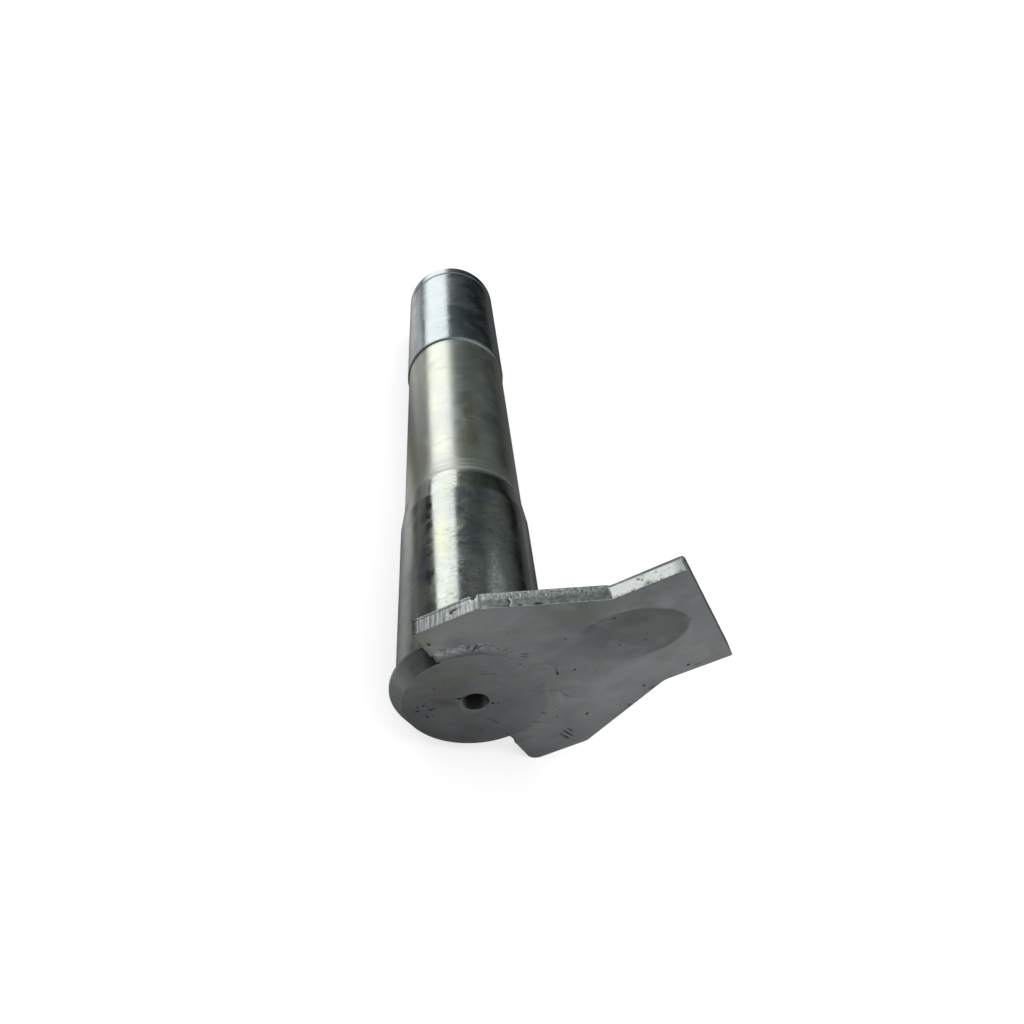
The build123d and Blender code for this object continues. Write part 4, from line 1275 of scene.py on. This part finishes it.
def make_floor():
    size, m = 6.0, bpy.data.materials.new("studio_floor")
    m.use_nodes = True
    nt = m.node_tree
    nt.nodes.clear()
    out = nt.nodes.new("ShaderNodeOutputMaterial")
    seen = nt.nodes.new("ShaderNodeBsdfDiffuse")
    seen.inputs["Color"].default_value = (0.55, 0.55, 0.55, 1)
    glow = nt.nodes.new("ShaderNodeEmission")
    glow.inputs["Color"].default_value = (1, 1, 1, 1)
    glow.inputs["Strength"].default_value = 0.60
    both = nt.nodes.new("ShaderNodeAddShader")
    dim = nt.nodes.new("ShaderNodeBsdfDiffuse")
    # the floor as the metal reflects it: greyer, with painted light and painted shade near the pin, darkest close to it
    # where its shadow falls
    co = nt.nodes.new("ShaderNodeTexCoord")

    def ramp(value, a, b, c, d):
        mr = nt.nodes.new("ShaderNodeMapRange")
        mr.interpolation_type = "SMOOTHSTEP"
        mr.inputs["From Min"].default_value = a
        mr.inputs["From Max"].default_value = b
        mr.inputs["To Min"].default_value = c
        mr.inputs["To Max"].default_value = d
        nt.links.new(value, mr.inputs["Value"])
        return mr.outputs["Result"]

    def two(op, a, b):
        mm = nt.nodes.new("ShaderNodeMath")
        mm.operation = op
        for i, x in enumerate((a, b)):
            if isinstance(x, float):
                mm.inputs[i].default_value = x
            else:
                nt.links.new(x, mm.inputs[i])
        return mm.outputs[0]

    def away(x, y):
        d = nt.nodes.new("ShaderNodeVectorMath")
        d.operation = "DISTANCE"
        nt.links.new(co.outputs["Object"], d.inputs[0])
        d.inputs[1].default_value = (x, y, -0.027)
        return d.outputs["Value"]

    # painted pools of light and painted shadow: a base tone plus soft patches
    tone = 0.078
    for x, y, r1, amount in (
            (0.0, -0.022, 0.030, 0.057), (0.030, -0.020, 0.030, 0.131), (-0.030, -0.020, 0.030, 0.027),
            (0.055, -0.030, 0.035, 0.160), (0.0, -0.050, 0.035, 0.027), (-0.040, -0.050, 0.040, 0.230),
            (0.040, -0.060, 0.040, 0.142), (0.085, -0.055, 0.050, 0.201), (0.0, -0.100, 0.060, 0.476),
            (0.140, -0.100, 0.080, 0.313), (0.120, -0.200, 0.120, 0.051), (-0.045, 0.020, 0.050, 0.242),
            (-0.050, 0.070, 0.050, 0.307), (-0.050, 0.120, 0.050, 0.476), (-0.055, 0.180, 0.060, 0.094),
            (-0.060, 0.250, 0.070, 0.466), (-0.060, 0.330, 0.080, 0.479), (-0.140, 0.100, 0.090, 0.098),
            (-0.150, 0.250, 0.100, 0.103), (-0.150, 0.420, 0.120, 0.736), (0.130, 0.180, 0.100, 0.098)):
        tone = two("ADD", tone, ramp(away(x, y), 0.0, r1, amount, 0.0))
    nt.links.new(tone, dim.inputs["Color"])
    mix = nt.nodes.new("ShaderNodeMixShader")
    path = nt.nodes.new("ShaderNodeLightPath")
    nt.links.new(seen.outputs[0], both.inputs[0])
    nt.links.new(glow.outputs[0], both.inputs[1])
    nt.links.new(path.outputs["Is Glossy Ray"], mix.inputs[0])
    nt.links.new(both.outputs[0], mix.inputs[1])
    nt.links.new(dim.outputs[0], mix.inputs[2])
    nt.links.new(mix.outputs[0], out.inputs["Surface"])
    m.cycles.emission_sampling = "NONE"
    me = bpy.data.meshes.new("floor")
    # plane through the collar's lowest line and the tip's lowest line
    slope = (27.0 - 24.5) / (279.0 - 0.5)
    z0 = -27.02 * MM
    me.from_pydata([(x, y, z0 + slope * y) for x, y in
                    ((-size, -size), (size, -size), (size, size), (-size, size))], [], [(0, 1, 2, 3)])
    me.materials.append(m)
    fl = bpy.data.objects.new("floor", me)
    scene.collection.objects.link(fl)


def make_world():
    w = bpy.data.worlds.new("studio_world")
    scene.world = w
    w.use_nodes = True
    w.cycles.sampling_method = "NONE"     # the room is seen by reflection only
    nt = w.node_tree
    nt.nodes.clear()
    out = nt.nodes.new("ShaderNodeOutputWorld")
    white = nt.nodes.new("ShaderNodeBackground")
    white.inputs["Color"].default_value = (1, 1, 1, 1)
    white.inputs["Strength"].default_value = 1.0
    room = nt.nodes.new("ShaderNodeBackground")
    co = nt.nodes.new("ShaderNodeTexCoord")

    def lobe(direction, inner, outer, amount):
        dot = nt.nodes.new("ShaderNodeVectorMath")
        dot.operation = "DOT_PRODUCT"
        nt.links.new(co.outputs["Generated"], dot.inputs[0])
        dot.inputs[1].default_value = tuple(direction)
        mr = nt.nodes.new("ShaderNodeMapRange")
        mr.interpolation_type = "SMOOTHSTEP"
        nt.links.new(dot.outputs["Value"], mr.inputs["Value"])
        mr.inputs["From Min"].default_value = math.cos(math.radians(outer))
        mr.inputs["From Max"].default_value = math.cos(math.radians(inner))
        mr.inputs["To Min"].default_value = 0.0
        mr.inputs["To Max"].default_value = amount
        return mr.outputs["Result"]

    total = None
    for az, el, o, a in (
            (-66, 6, 30, 0.050), (-14, 6, 30, 0.008), (-65, 29, 32, 0.043), (25, 29, 32, 0.026),
            (55, 29, 32, 0.109), (-100, 52, 34, 0.047), (-60, 52, 34, 0.388), (20, 52, 34, 0.034),
            (60, 52, 34, 0.032), (-90, 76, 40, 0.430), (30, 76, 40, 0.121), (-5, 16, 15, 0.031),
            (-4, 31, 15, 0.061), (-12, 46, 15, 0.023), (8, 24, 15, 0.021), (-25, 4, 14, 0.168),
            (99, 14, 32, 0.30), (150, 38, 42, 0.55), (-150, 38, 42, 0.45)):    # the last ones are off to the side and behind the camera
        s = lobe(photo_dir(az, el), 0.0, o, a)
        if total is None:
            total = s
        else:
            ad = nt.nodes.new("ShaderNodeMath")
            ad.operation = "ADD"
            nt.links.new(total, ad.inputs[0])
            nt.links.new(s, ad.inputs[1])
            total = ad.outputs[0]
    base = nt.nodes.new("ShaderNodeMath")
    base.operation = "ADD"
    nt.links.new(total, base.inputs[0])
    base.inputs[1].default_value = 0.004
    room.inputs["Color"].default_value = (0.90, 1.0, 0.99, 1)
    nt.links.new(base.outputs[0], room.inputs["Strength"])
    mix = nt.nodes.new("ShaderNodeMixShader")
    path = nt.nodes.new("ShaderNodeLightPath")
    nt.links.new(path.outputs["Is Glossy Ray"], mix.inputs[0])
    nt.links.new(white.outputs[0], mix.inputs[1])
    nt.links.new(room.outputs[0], mix.inputs[2])
    nt.links.new(mix.outputs[0], out.inputs["Surface"])


def softbox(name, az, el, dist, w, h, roll_deg, radiance):
    d = photo_dir(az, el)
    li = bpy.data.lights.new(name, "AREA")
    li.shape = "RECTANGLE"
    li.size, li.size_y = w, h
    li.energy = radiance * math.pi * w * h
    li.color = (1.0, 1.0, 0.985)
    ob = bpy.data.objects.new(name, li)
    scene.collection.objects.link(ob)
    # its long side leans: up and to the left as seen along the pin
    lean = math.radians(roll_deg)
    e = photo_dir(az - 10 * math.sin(lean), el + 10 * math.cos(lean))
    ly = (e - d * e.dot(d)).normalized()
    lx = ly.cross(d)
    o = Vector((0, 0.12, 0)) + d * dist
    ob.matrix_world = Matrix(((lx[0], ly[0], d[0], o[0]), (lx[1], ly[1], d[1], o[1]),
                              (lx[2], ly[2], d[2], o[2]), (0, 0, 0, 1)))
    ob.visible_camera = False
    return ob


make_floor()
make_world()
softbox("softbox", -23.0, 22.3, 1.6, 0.774, 1.38, 37.7, 1.32)

cam_data = bpy.data.cameras.new("camera")
cam_data.sensor_width = 36.0
cam_data.lens = 730.606 / 1024 * 36.0
cam_data.clip_start, cam_data.clip_end = 0.01, 50.0
cam = bpy.data.objects.new("camera", cam_data)
scene.collection.objects.link(cam)
right = Vector((0.94481314, -0.08959355, 0.31512081))
up = Vector((-0.18541491, 0.64676657, 0.73980694))
fwd = Vector((0.27009153, 0.75740742, -0.59446158))
cam.matrix_world = Matrix(((right[0], up[0], -fwd[0], -0.06190729),
                           (right[1], up[1], -fwd[1], -0.14145572),
                           (right[2], up[2], -fwd[2], 0.18336744),
                           (0, 0, 0, 1)))
scene.camera = cam
scene.view_settings.view_transform = "Standard"
scene.view_settings.look = "None"

bpy.context.view_layer.update()
